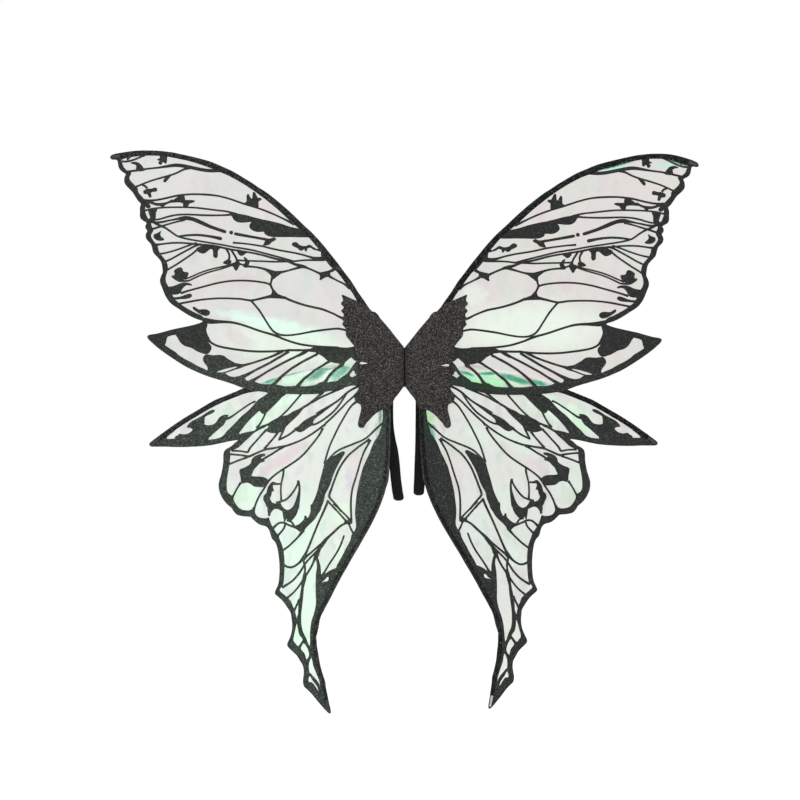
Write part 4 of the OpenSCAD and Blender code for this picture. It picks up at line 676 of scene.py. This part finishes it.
# The right tape's tones are darker than the left's. This is painted shade, since the light falls from the
# left.
tapes = {
    "left": speckled("binding tape lit left",
                     [(0.0, "060707"), (0.45, "0e0f10"), (0.8, "1a1c1c"), (1.0, "3a3f3e")],
                     1.3, 0.95, rough=(0.5, 0.85), bump=0.4, fibre=0.5, gloss=0.2, sheen=0.0),
    "right": speckled("binding tape shaded right",
                      [(0.0, "030404"), (0.45, "090a0a"), (0.8, "131515"), (1.0, "2b2f2e")],
                      1.3, 0.97, rough=(0.55, 0.85), bump=0.4, fibre=0.5, gloss=0.12, sheen=0.0),
}
elastic = woven("ribbed elastic", [(0.15, "050505"), (0.5, "0e0f0e"), (0.9, "242423")], 0.55, 0.9)
webbing = woven("woven patch", [(0.15, "101010"), (0.5, "1c1c1b"), (0.9, "30302f")], 0.9, 0.9, 0.7)
thread = moulded("sewing thread", "303030", "5c5c5a", rough=(0.5, 0.75), scale=900.0)
steel = moulded("spring wire", "70747a", "a4a8ad", metallic=1.0, rough=(0.25, 0.45))
cap_black = moulded("black cap", "161718", "232527", rough=(0.32, 0.5))
cap_pale = moulded("pale cap", "8c8f8e", "b4b8b6", rough=(0.32, 0.5))

MINT_UPPER_LEFT = [(205, 67, 98, 11, 12, 0.95), (246, 80, 44, 9, 6, 0.6), (150, 50, 44, 9, 14, 0.6),
                   (370, 300, 40, 9, 4, 0.15)]
WASH_LEFT = [(170, 34, 130, 36, 8, 1.0)]
WASH_RIGHT = [(190, 60, 145, 50, 0, 1.0), (106, 108, 20, 26, 0, 0.8)]
DARK_TIP_RIGHT = [(312, 303.6, 46, 4.2, 14, 1.0), (412, 309.5, 26, 4.2, -12, 1.0)]
MINT_TIP_RIGHT = [(318, 300, 26, 3.2, 14, 1.0), (392, 303, 20, 3.4, -8, 1.0)]
PINK_UPPER = [(255, 130, 60, 16, 0, 0.7), (250, 45, 30, 14, 20, 0.7), (300, 220, 60, 30, 0, 0.45)]
MINT_LOWER_LEFT = [(172, -275, 100, 54, -70, 0.9), (150, -380, 120, 40, -80, 1.0),
                   (235, -90, 70, 18, -30, 0.8), (180, -50, 40, 12, -10, 1.0), (230, -190, 36, 36, 0, 0.7)]
MINT_LOWER_RIGHT = [(240, -68, 64, 22, -26, 1.0), (150, -200, 30, 30, 0, 0.3), (165, -285, 30, 18, -50, 0.4),
                    (110, -100, 26, 14, -30, 0.4)]
GREEN_LOWER_RIGHT = [(170, -110, 40, 26, -40, 0.7), (250, -160, 34, 40, 0, 0.5), (110, -240, 26, 50, 0, 0.4)]
PINK_LOWER = [(178, -134, 58, 11, -32, 0.9), (70, -140, 22, 40, 0, 0.5), (250, -150, 24, 30, 0, 0.4)]
LAVENDER = [(82, -162, 14, 16, 0, 0.4), (254, -168, 12, 16, 0, 0.4), (176, -250, 14, 16, 0, 0.3)]
LIMY = [(97, -220, 16, 22, 0, 0.9), (100, -275, 14, 24, 0, 0.9)]

# Where the lower film lies behind the upper one the two shimmer together.
DOUBLE = [(132, -13, 74, 13, -6, 1.0), (206, -24, 26, 8, -14, 1.0)]
PALE_CELLS_LEFT = [(167, -19, 26, 8, -14, 1.0), (113, -19, 9, 4, -30, 0.8), (147, -24, 10, 4, -20, 0.8)]
CELLS_LEFT = [(97, -7, 22, 9, -34, 1.0), (133, -11, 22, 8, -32, 0.8), (199, -20, 14, 6, -14, 0.9)]
BLOTCH_LEFT = [(130, -9, 16, 5, -28, 0.9), (90, -3, 8, 4, -30, 0.5)]
STREAK_LEFT = [(126, -1.8, 22, 1.8, -4, 1.0), (98, 0.6, 14, 1.6, 3, 0.9), (168, -8.6, 26, 1.8, -12, 1.0),
               (204, -19.4, 16, 2.0, -20, 1.0)]
LIME_RIGHT = [(107, -18.5, 17, 6.4, -30, 1.0), (135, -20.5, 23, 9, -26, 1.0)]
LEMON_RIGHT = [(171, -25, 24, 5, -14, 1.0)]
MINT_RIGHT = [(96, -13, 12, 5, -26, 1.0), (124, -14.5, 13, 3.4, -16, 0.7)]
BAND_RIGHT = [(94, -8.6, 13, 2.8, -18, 1.0), (126, -8.4, 18, 2.8, -2, 1.0), (167, -17, 30, 5.4, -16, 1.0),
              (200, -22, 18, 4.6, -12, 1.0)]
# Colours at the top of the tail, beside the felt cover.
MINT_INNER_LEFT = [(39, -95, 6, 22, 0, 0.8)]
TEAL_INNER_LEFT = [(36, -72, 3.4, 15, 0, 0.9)]
LIME_INNER_RIGHT = [(36, -74, 11, 13, 0, 1.0)]
MINT_INNER_RIGHT = [(38, -103, 9, 15, 8, 1.0)]
TEAL_INNER_RIGHT = [(38, -88, 9, 4, 0, 1.0)]

GREY_LEFT = ("ebebea", "ededeb", "efeceb", "ecefec")
GREY_RIGHT = ("eaebe8", "edebe9", "eee9e8", "eaedea")
PALE_GREEN = ("eff2ee", "f1f4f0", "f2f2f0", "f0f6f2")
GREEN_GREY = ("ebede9", "edefec", "eeedea", "ebf1ec")

BANDS_LEFT = [("d0eadd", CELLS_LEFT), ("f3fcf5", PALE_CELLS_LEFT), ("c5dfd5", BLOTCH_LEFT),
              ("c2e1d6", STREAK_LEFT)]
BANDS_RIGHT = [("f4fbf0", LEMON_RIGHT), ("e7fbe9", LIME_RIGHT), ("e1f9e9", MINT_RIGHT),
               ("a6dbca", BAND_RIGHT)]
films = {
    ("left", "upper"): film("upper film left", GREY_LEFT, ("fefcfd", "fbfefb"), [
        ("f2f8f0", WASH_LEFT), ("eee8e8", PINK_UPPER), ("f0fdf6", MINT_UPPER_LEFT),
    ], [("fcfffd", DOUBLE)] + BANDS_LEFT),
    ("right", "upper"): film("upper film right", GREY_RIGHT, ("fefcfd", "fbfefb"), [
        ("eee8e8", PINK_UPPER), ("f3f7f1", WASH_RIGHT),
    ], [("f6f8f4", DOUBLE)] + BANDS_RIGHT + [("d8f5ea", MINT_TIP_RIGHT), ("2d775f", DARK_TIP_RIGHT)]),
    ("left", "lower"): film("lower film left", PALE_GREEN, ("faf7fb", "f7fcf7"), [
        ("f1fdf4", MINT_LOWER_LEFT), ("f1e9ea", PINK_LOWER), ("ecebf1", LAVENDER), ("f1fbf0", LIMY),
    ], [("fafefc", DOUBLE)] + BANDS_LEFT + [("cde0d6", MINT_INNER_LEFT), ("a2baac", TEAL_INNER_LEFT)]),
    ("right", "lower"): film("lower film right", GREEN_GREY, ("fbf8fb", "f8fcf8"), [
        ("eef9ef", MINT_LOWER_RIGHT), ("eee8e8", PINK_LOWER), ("ecf4ee", GREEN_LOWER_RIGHT),
    ], [("f6f9f6", DOUBLE)] + BANDS_RIGHT + [
        ("d3eac9", LIME_INNER_RIGHT), ("84c8a8", MINT_INNER_RIGHT), ("8dbda2", TEAL_INNER_RIGHT)]),
}


# ------------ films and prints

GRID = 10.0
# The grid's cuts: across which axis, from where and to where.
CUTS = ((0, 10, 450), (2, -530, 340))


def wing_layer(node, name, side, material):
    """The CAD layer cut into a fine grid and bowed as taut film is, with its place kept as a UV."""
    bm = bmesh.new()
    bm.from_mesh(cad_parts[node].data)
    bmesh.ops.remove_doubles(bm, verts=bm.verts, dist=2e-6)
    for vert in bm.verts:
        vert.co = unplace(side, vert.co)
    for axis, start, end in CUTS:
        spans = [vert.co[axis] for vert in bm.verts]
        normal = Vector((1, 0, 0)) if axis == 0 else Vector((0, 0, 1))
        at = start
        while at < end:
            if min(spans) < at < max(spans):
                bmesh.ops.bisect_plane(bm, geom=bm.verts[:] + bm.edges[:] + bm.faces[:], dist=1e-4,
                                       plane_co=normal * at, plane_no=normal)
            at += GRID
    for old in bm.loops.layers.uv.values():
        bm.loops.layers.uv.remove(old)
    layer = bm.loops.layers.uv.new("wing")
    for face in bm.faces:
        for loop in face.loops:
            loop[layer].uv = (loop.vert.co.x / UV_UNIT, loop.vert.co.z / UV_UNIT)
    for vert in bm.verts:
        u, depth, v = vert.co
        vert.co = place(side, u, v, depth + wave(side, u, v))
    return finish_piece(name, bm, side + "_wing", material, [node])


layers = {}
for side in SIDES:
    for part in ("upper", "lower"):
        layers[side, part, "film"] = wing_layer(
            f"{side}_{part}_film", f"{side}_{part}_clear_film", side, films[side, part])
        layers[side, part, "print"] = wing_layer(
            f"{side}_{part}_print", f"{side}_{part}_glitter_print", side, prints[side])


# ------------ wires, bindings and tip caps


def strip_piece(name, side, line, section, face, material, node, ripple=0.0):
    """A section, (across, up), carried along a line that lies on a bowed wing face."""
    rows, run = [], lengths(line)
    for i, p in enumerate(line):
        t = heading(line, i)
        side_way = np.array((-t[1], t[0]))
        swell = 1 + ripple * math.sin(run[i] / 3.1) * math.sin(run[i] / 7.7 + 1)
        row = []
        for across, up in section:
            q = np.array(p) + side_way * across * swell
            row.append(place(side, q[0], q[1], face + up * swell + wave(side, q[0], q[1])))
        rows.append(row)
    around = [k * 0.01 for k in range(len(section) + 1)]
    uvs = (around, [r / UV_UNIT for r in run])
    return swept_piece(name, rows, uvs, side + "_wing", material, node, 60)


def mirrored(points):
    return [(-x, y) for x, y in points]


def tape_section(width):
    """A folded tape over a wire: two thin flanges and a round roof, open below."""
    half = width / 2
    over = [(half, 0.02), (half, 0.22), (half - 0.35, 0.4), (1.75, 0.46), (1.45, 0.75), (1.2, 1.25),
            (0.8, 1.68), (0.3, 1.9)]
    under = [(1.5, 0.02), (1.15, 0.35), (0.98, 0.85), (0.75, 1.35), (0.3, 1.62)]
    return mirrored(over) + over[::-1] + under + mirrored(under[::-1])


def round_section(radius, lift, count=12):
    return [(radius * math.cos(2 * math.pi * k / count), lift + radius * math.sin(2 * math.pi * k / count))
            for k in range(count)]


def tip_piece(name, side, start, end, face, material, node, wide=1.0):
    """A moulded cap with two collars and a round nose, flattened where it lies on the print."""
    a, b = np.array(start, float), np.array(end, float)
    length = float(np.linalg.norm(b - a))
    t = (b - a) / length
    across = np.array((-t[1], t[0]))
    profile = [(-2.3, 0.05), (-2.3, 1.5), (-2.0, 1.85), (-1.2, 2.0), (-0.6, 2.0), (-0.3, 1.72), (0.4, 1.7),
               (0.7, 2.0), (1.5, 2.05), (1.9, 1.75), (length * 0.5, 1.72), (length - 0.6, 1.6),
               (length + 0.4, 1.35), (length + 1.1, 0.9), (length + 1.5, 0.4), (length + 1.6, 0.05)]
    rows = []
    for s, r in profile:
        row = []
        for k in range(20):
            turn = 2 * math.pi * k / 20
            q = a + t * s + across * r * wide * math.cos(turn)
            up = 1.42 + r * 0.69 * math.sin(turn)
            row.append(place(side, q[0], q[1], face + up + wave(side, a[0], a[1])))
        rows.append(row)
    return swept_piece(name, rows, None, side + "_wing", material, node, 35)


# The spring wire's radius, and how high its middle is above the face.
WIRE = (0.78, 0.84)
# Each wired edge: its line, the tape's width, the face it lies on, the cap's two ends and its breadth.
EDGES = (
    ("upper", LEAD_LINE, 7.6, UPPER_FACE, (428.6, 315.7), (436.6, 314.6), 1.5),
    ("lower", LOWER_LINE, 7.6, LOWER_FACE, (370.8, -107.8), (379, -114.2), 1.0),
    ("tail", TAIL_LINE, 5.0, LOWER_FACE, (117, -502.4), (113.6, -515.6), 1.0),
)
trims = {}
for side in SIDES:
    for part, line, width, face, start, end, wide in EDGES:
        shift = droop if part == "upper" else lean
        line = [shift(p, side) for p in line]
        start, end = shift(start, side), shift(end, side)
        path = even(catmull(line, 4), 4.0)
        trims[side, part] = [
            strip_piece(f"{side}_{part}_spring_wire", side, path, round_section(*WIRE), face,
                        steel, f"{side}_{part}_wire"),
            strip_piece(f"{side}_{part}_binding_tape", side, path, tape_section(width), face,
                        tapes[side], f"{side}_{part}_binding", ripple=0.03),
            tip_piece(f"{side}_{part}_moulded_cap", side, start, end, face,
                      cap_pale if (side, part) == ("right", "tail") else cap_black,
                      f"{side}_{part}_tip_cap", wide),
        ]


# ------------ felt covers and backings


def settle(heights, least, links, turns):
    """Evens out heights between neighbours and never lets one sink below what holds it up."""
    for _ in range(turns):
        total = np.zeros(len(heights))
        count = np.zeros(len(heights))
        for a, b in ((0, 1), (1, 0)):
            np.add.at(total, links[:, a], heights[links[:, b]])
            np.add.at(count, links[:, a], 1)
        heights = np.maximum(0.5 * heights + 0.5 * total / np.maximum(count, 1), least)
    return heights


def lumps(points, size, height, seed):
    """Gentle ups and downs of this size and height, the same in each run."""
    return np.array([height * noise.noise(Vector((p[0] / size, p[1] / size, seed))) for p in points])


# The felt's underside falls away from a wire this steeply, beyond this far from a wide or narrow tape.
SLOPE = 0.9
WIDE_TAPE = 4.4
NARROW_TAPE = 3.1


def cover_faces(side):
    """Top and bottom of a felt cover that lies on the films and rises over the wires."""
    lead = catmull([droop(p, side) for p in LEAD_LINE], 3)
    low = catmull([lean(p, side) for p in LOWER_LINE], 3)
    tail = catmull([lean(p, side) for p in TAIL_LINE], 3)
    foot = np.array(UPPER_FOOT, float)
    seed = 3.1 if side == "left" else 8.4

    def bottom(points, edge, links):
        over_film = points[:, 1] > np.interp(points[:, 0], foot[:, 0], foot[:, 1])
        over_film &= points[:, 0] > UPPER_FOOT[0][0]
        film_face = np.where(over_film, UPPER_FACE + 0.08, LOWER_FACE + 0.08)
        ridge = COVER_BACK + 0.2 - SLOPE * np.maximum(to_line(points, lead) - WIDE_TAPE, 0)
        least = np.maximum(film_face, ridge)
        for line, half in ((low, WIDE_TAPE), (tail, NARROW_TAPE)):
            ridge = LOWER_FACE + 2.1 - SLOPE * np.maximum(to_line(points, line) - half, 0)
            least = np.maximum(least, ridge)
        stuffed = COVER_BACK + 0.1 - 0.45 * np.maximum(7 - edge, 0)
        return settle(np.maximum(least, stuffed), least, links, 4)

    def top(points, edge, under):
        thick = 2.0 * (0.42 + 0.58 * np.sqrt(1 - (1 - np.clip(edge / 1.7, 0, 1)) ** 2))
        crown = 0.2 * np.array([smooth(e / 26) for e in edge])
        still = np.array([smooth((p[0] - 2) / 14) for p in points])
        return under + thick + (crown + lumps(points, 13, 0.22, seed)) * still

    return top, bottom


def on_wing(side):
    return lambda u, v, h: place(side, u, v, h)


SLITS = {"left": PAD_SLIT, "right": [(u, v - SLIT_DROP) for u, v in PAD_SLIT]}
covers, backings = {}, {}
for side in SIDES:
    top, bottom = cover_faces(side)
    covers[side] = flat_felt(f"{side}_glitter_felt_cover", PAD_EDGE, [SLITS[side]], on_wing(side), top,
                             bottom, side + "_wing", pad_felt, [f"{side}_root_cover"], step=2.6,
                             swell=swollen)


def inset_ring(ring, by):
    """A ring drawn in by a distance, one point for each."""
    p = np.array(ring, float)
    t = np.roll(p, -1, axis=0) - np.roll(p, 1, axis=0)
    n = np.stack([-t[:, 1], t[:, 0]], axis=1) / np.linalg.norm(t, axis=1)[:, None]
    turn = (p[:, 0] * np.roll(p[:, 1], -1) - np.roll(p[:, 0], -1) * p[:, 1]).sum()
    return [tuple(q) for q in p + n * by * (1 if turn > 0 else -1)]


def plain_faces(low, high, seed, crown=0.0, soft=0.9):
    """Bottom and top of a flat piece with soft edges, between two heights."""
    def bottom(points, edge, links):
        return low + 0.3 * soft * (1 - np.clip(edge / soft, 0, 1)) ** 2

    def top(points, edge, under):
        drop = 0.45 * soft * (1 - np.clip(edge / soft, 0, 1)) ** 2
        lift = crown * np.array([smooth(e / 20) for e in edge])
        return high - drop + lift + np.minimum(lumps(points, 9, 0.12, seed), 0)

    return top, bottom


for side in SIDES:
    top, bottom = plain_faces(0.0, LOWER_FILM - 0.02, 5.0)
    backings[side] = flat_felt(f"{side}_felt_backing", inset_ring(PAD_EDGE, 1.5),
                               [inset_ring(SLITS[side], -1.0)], on_wing(side), top, bottom, side + "_wing",
                               plain_felt, [f"{side}_root_backing"], step=5.0)


# ------------ back panel, straps and patches

# How far each strap is from the middle, and a patch's width and height.
STRAP_X = 25
PATCH = (19, 12)
# How far the stitches of a patch are from its middle, across and up.
SEWN = (8.2, 4.8)
# The lower end of the spine fold, its length and how many rings of points it has.
FOLD_LOW = -27
FOLD_LONG = 57
FOLD_RINGS = 30


def behind(x, z, h):
    """A point on the back of the object: h is how far behind the panel's rear face."""
    return Vector((x * MM, h * MM, z * MM))


panel_ring = PANEL_HALF + mirrored(PANEL_HALF[-2:0:-1])
top, bottom = plain_faces(-2.4, 0.0, 2.0)
flat_felt("covered_back_panel", panel_ring, [], behind, top, bottom, "back", plain_felt,
          ["back_panel"], step=5.0)


def strap_piece(name, loop, way):
    """Ribbed elastic webbing carried round its loop, with soft edges and seven raised ribs."""
    half_width, half_thick = 8.0, 0.8
    line = even([(max(p[0], half_thick), p[1], p[2]) for p in catmull(loop, 4)], 3.0)
    foot = float(line[:, 1].min())
    section = []
    for k in range(29):
        s = -1 + 2 * k / 28
        round_off = math.sqrt(max(1 - max((abs(s) - 0.9) / 0.1, 0) ** 2, 0))
        rib = 0.07 * math.cos(s * 7.5 * math.pi)
        section.append((s * half_width, (half_thick - 0.08 + rib) * max(round_off, 0.25)))
    section += [(s, -h) for s, h in reversed(section)]
    rows, run = [], lengths(line)
    for i, p in enumerate(line):
        t = heading(line, i)
        normal = np.array((-t[1], t[0]))
        curl = 3.4 * smooth(1 - (p[1] - foot) / 16)
        rows.append([
            Vector((way * (p[2] + a) * MM, (p[0] + normal[0] * h) * MM,
                    (p[1] + normal[1] * h + curl * abs(a / half_width) ** 3) * MM))
            for a, h in section
        ])
    widths = [s for s, h in section] + [section[0][0]]
    node = name.replace("_webbing", "")
    return swept_piece(name, rows, (widths, run), "back", elastic, node, 70)


strap_piece("left_strap_webbing", LEFT_LOOP, -1)
strap_piece("right_strap_webbing", RIGHT_LOOP, 1)


def rounded_box_ring(x, z, width, height, r):
    """A rectangle round (x, z) whose corners have the radius r."""
    ring = []
    for cx, cz, start in ((1, 1, 0), (-1, 1, 90), (-1, -1, 180), (1, -1, 270)):
        for k in range(4):
            turn = math.radians(start + 30 * k)
            ring.append((x + cx * (width / 2 - r) + r * math.cos(turn),
                         z + cz * (height / 2 - r) + r * math.sin(turn)))
    return ring


def stitches(name, lines, high, gap=2.6, long=1.9, thick=0.26):
    """Short raised stitches along lines: one small rounded bead of thread for each."""
    bm = bmesh.new()
    for line in lines:
        path = even(line, gap)
        for a, b in zip(path[:-1], path[1:]):
            t = b - a
            far = float(np.linalg.norm(t))
            t = t / far
            across = np.array((-t[1], t[0]))
            a = a + t * (far - long * far / gap) / 2
            rows = []
            for s, r, up in ((0, 0.3, -0.1), (0.12, 0.8, 0.05), (0.35, 1, 0.12), (0.65, 1, 0.12),
                             (0.88, 0.8, 0.05), (1, 0.3, -0.1)):
                q = a + t * s * long * far / gap
                rows.append([behind(*(q + across * r * thick * math.cos(k * math.pi / 3)),
                                    high + up + r * thick * math.sin(k * math.pi / 3)) for k in range(6)])
            sweep_mesh(bm, rows)
    return finish_piece(name, bm, "back", thread, corner=80)


for way, side in ((-1, "left"), (1, "right")):
    for part, z in (("top", 25), ("low", -33)):
        top, bottom = plain_faces(1.62, 2.4, 1.0 + z, crown=0.1, soft=0.6)
        middle = way * STRAP_X
        flat_felt(f"{side}_strap_{part}_sewn_patch", rounded_box_ring(middle, z, *PATCH, 1.6), [], behind,
                  top, bottom, "back", webbing, [f"{side}_strap_{part}_patch"], step=1.6)
        x0, x1, z0, z1 = middle - SEWN[0], middle + SEWN[0], z - SEWN[1], z + SEWN[1]
        square = [(x0, z0), (x1, z0), (x1, z1), (x0, z1), (x0, z0)]
        crossed = [square[k:k + 2] for k in range(4)] + [[(x0, z0), (x1, z1)], [(x0, z1), (x1, z0)]]
        stitches(f"{side}_strap_{part}_stitches", crossed, 2.42)

hem = [tuple(p) for p in even(catmull(inset_ring(panel_ring, 3.0), 3, closed=True), 3.0, closed=True)]
stitches("panel_hem_stitches", [hem + hem[:1]], 0.02, gap=3.2, long=2.2)


def fold_piece():
    """The strip of cloth folded forward between the two felt covers."""
    rows = []
    for k in range(FOLD_RINGS):
        z = FOLD_LOW + FOLD_LONG * k / (FOLD_RINGS - 1)
        side_way = 0.18 * math.sin(z / 4.3)
        half = [(1.3, -2.42), (1.0, -2.75), (0.75, -3.6), (0.6, -5.0), (0.42, -5.75)]
        section = mirrored(half) + [(0, -5.98)] + half[::-1]
        rows.append([Vector(((x + side_way * min(1, (-y - 2.4) / 2)) * MM, y * MM, z * MM))
                     for x, y in section])
    uvs = ([k * 0.8 for k in range(12)], [k * 1.72 for k in range(FOLD_RINGS)])
    return swept_piece("spine_cloth_fold", rows, uvs, "back", webbing, "spine_fold", 60)


fold_piece()

# ------------ the pieces that lie on each wing layer, gathered but not used

for side in SIDES:
    for part in ("upper", "lower"):
        on_it = [layers[side, part, "print"], *trims[side, part][1:]]
        if part == "lower":
            on_it += trims[side, "tail"][1:]

# ------------ floor, light and camera


def plain(name, code, rough):
    material, tree = new_material(name)
    surfaced(tree, {"Base Color": colour(code), "Roughness": rough})
    return material


# How far the floor reaches and how low it lies, in metres. Lights and camera are in metres too.
REACH, LOW = 9, -0.72
corners = [(-REACH, -REACH, LOW), (REACH, -REACH, LOW), (REACH, REACH, LOW), (-REACH, REACH, LOW)]
floor_mesh = bpy.data.meshes.new("floor")
floor_mesh.from_pydata(corners, [], [(0, 1, 2, 3)])
floor = bpy.data.objects.new("floor", floor_mesh)
link(floor)
floor_mesh.materials.append(plain("floor paint", "ffffff", 0.9))

world = bpy.data.worlds.new("studio")
bpy.context.scene.world = world
world.use_nodes = True
sky = world.node_tree.nodes["Background"].inputs
sky["Color"].default_value = (1, 1, 1, 1)
sky["Strength"].default_value = 1.0


def area_light(name, place_m, aim, size, power):
    """A square lamp at a place, turned to its aim, both in metres."""
    lamp = bpy.data.lights.new(name, "AREA")
    lamp.size = size
    lamp.energy = power
    made = bpy.data.objects.new(name, lamp)
    made.location = place_m
    made.rotation_euler = (Vector(aim) - Vector(place_m)).to_track_quat("-Z", "Y").to_euler()
    link(made)


AIM = (0, 0, -0.1)
area_light("key", (-1.6, -2.6, 2.2), AIM, 1.6, 26)
area_light("fill", (1.9, -2.4, 1.0), AIM, 1.8, 14)
area_light("rear", (0.6, 2.4, 2.0), AIM, 1.8, 14)

lens = bpy.data.cameras.new("camera")
lens.lens = 120
lens.sensor_width = 36
lens.clip_end = 50
camera = bpy.data.objects.new("camera", lens)
camera.location = (-0.00675, -4.03, -0.048)
camera.rotation_euler = (math.radians(90), 0, 0)
link(camera)
bpy.context.scene.camera = camera
bpy.context.scene.view_settings.view_transform = "Standard"
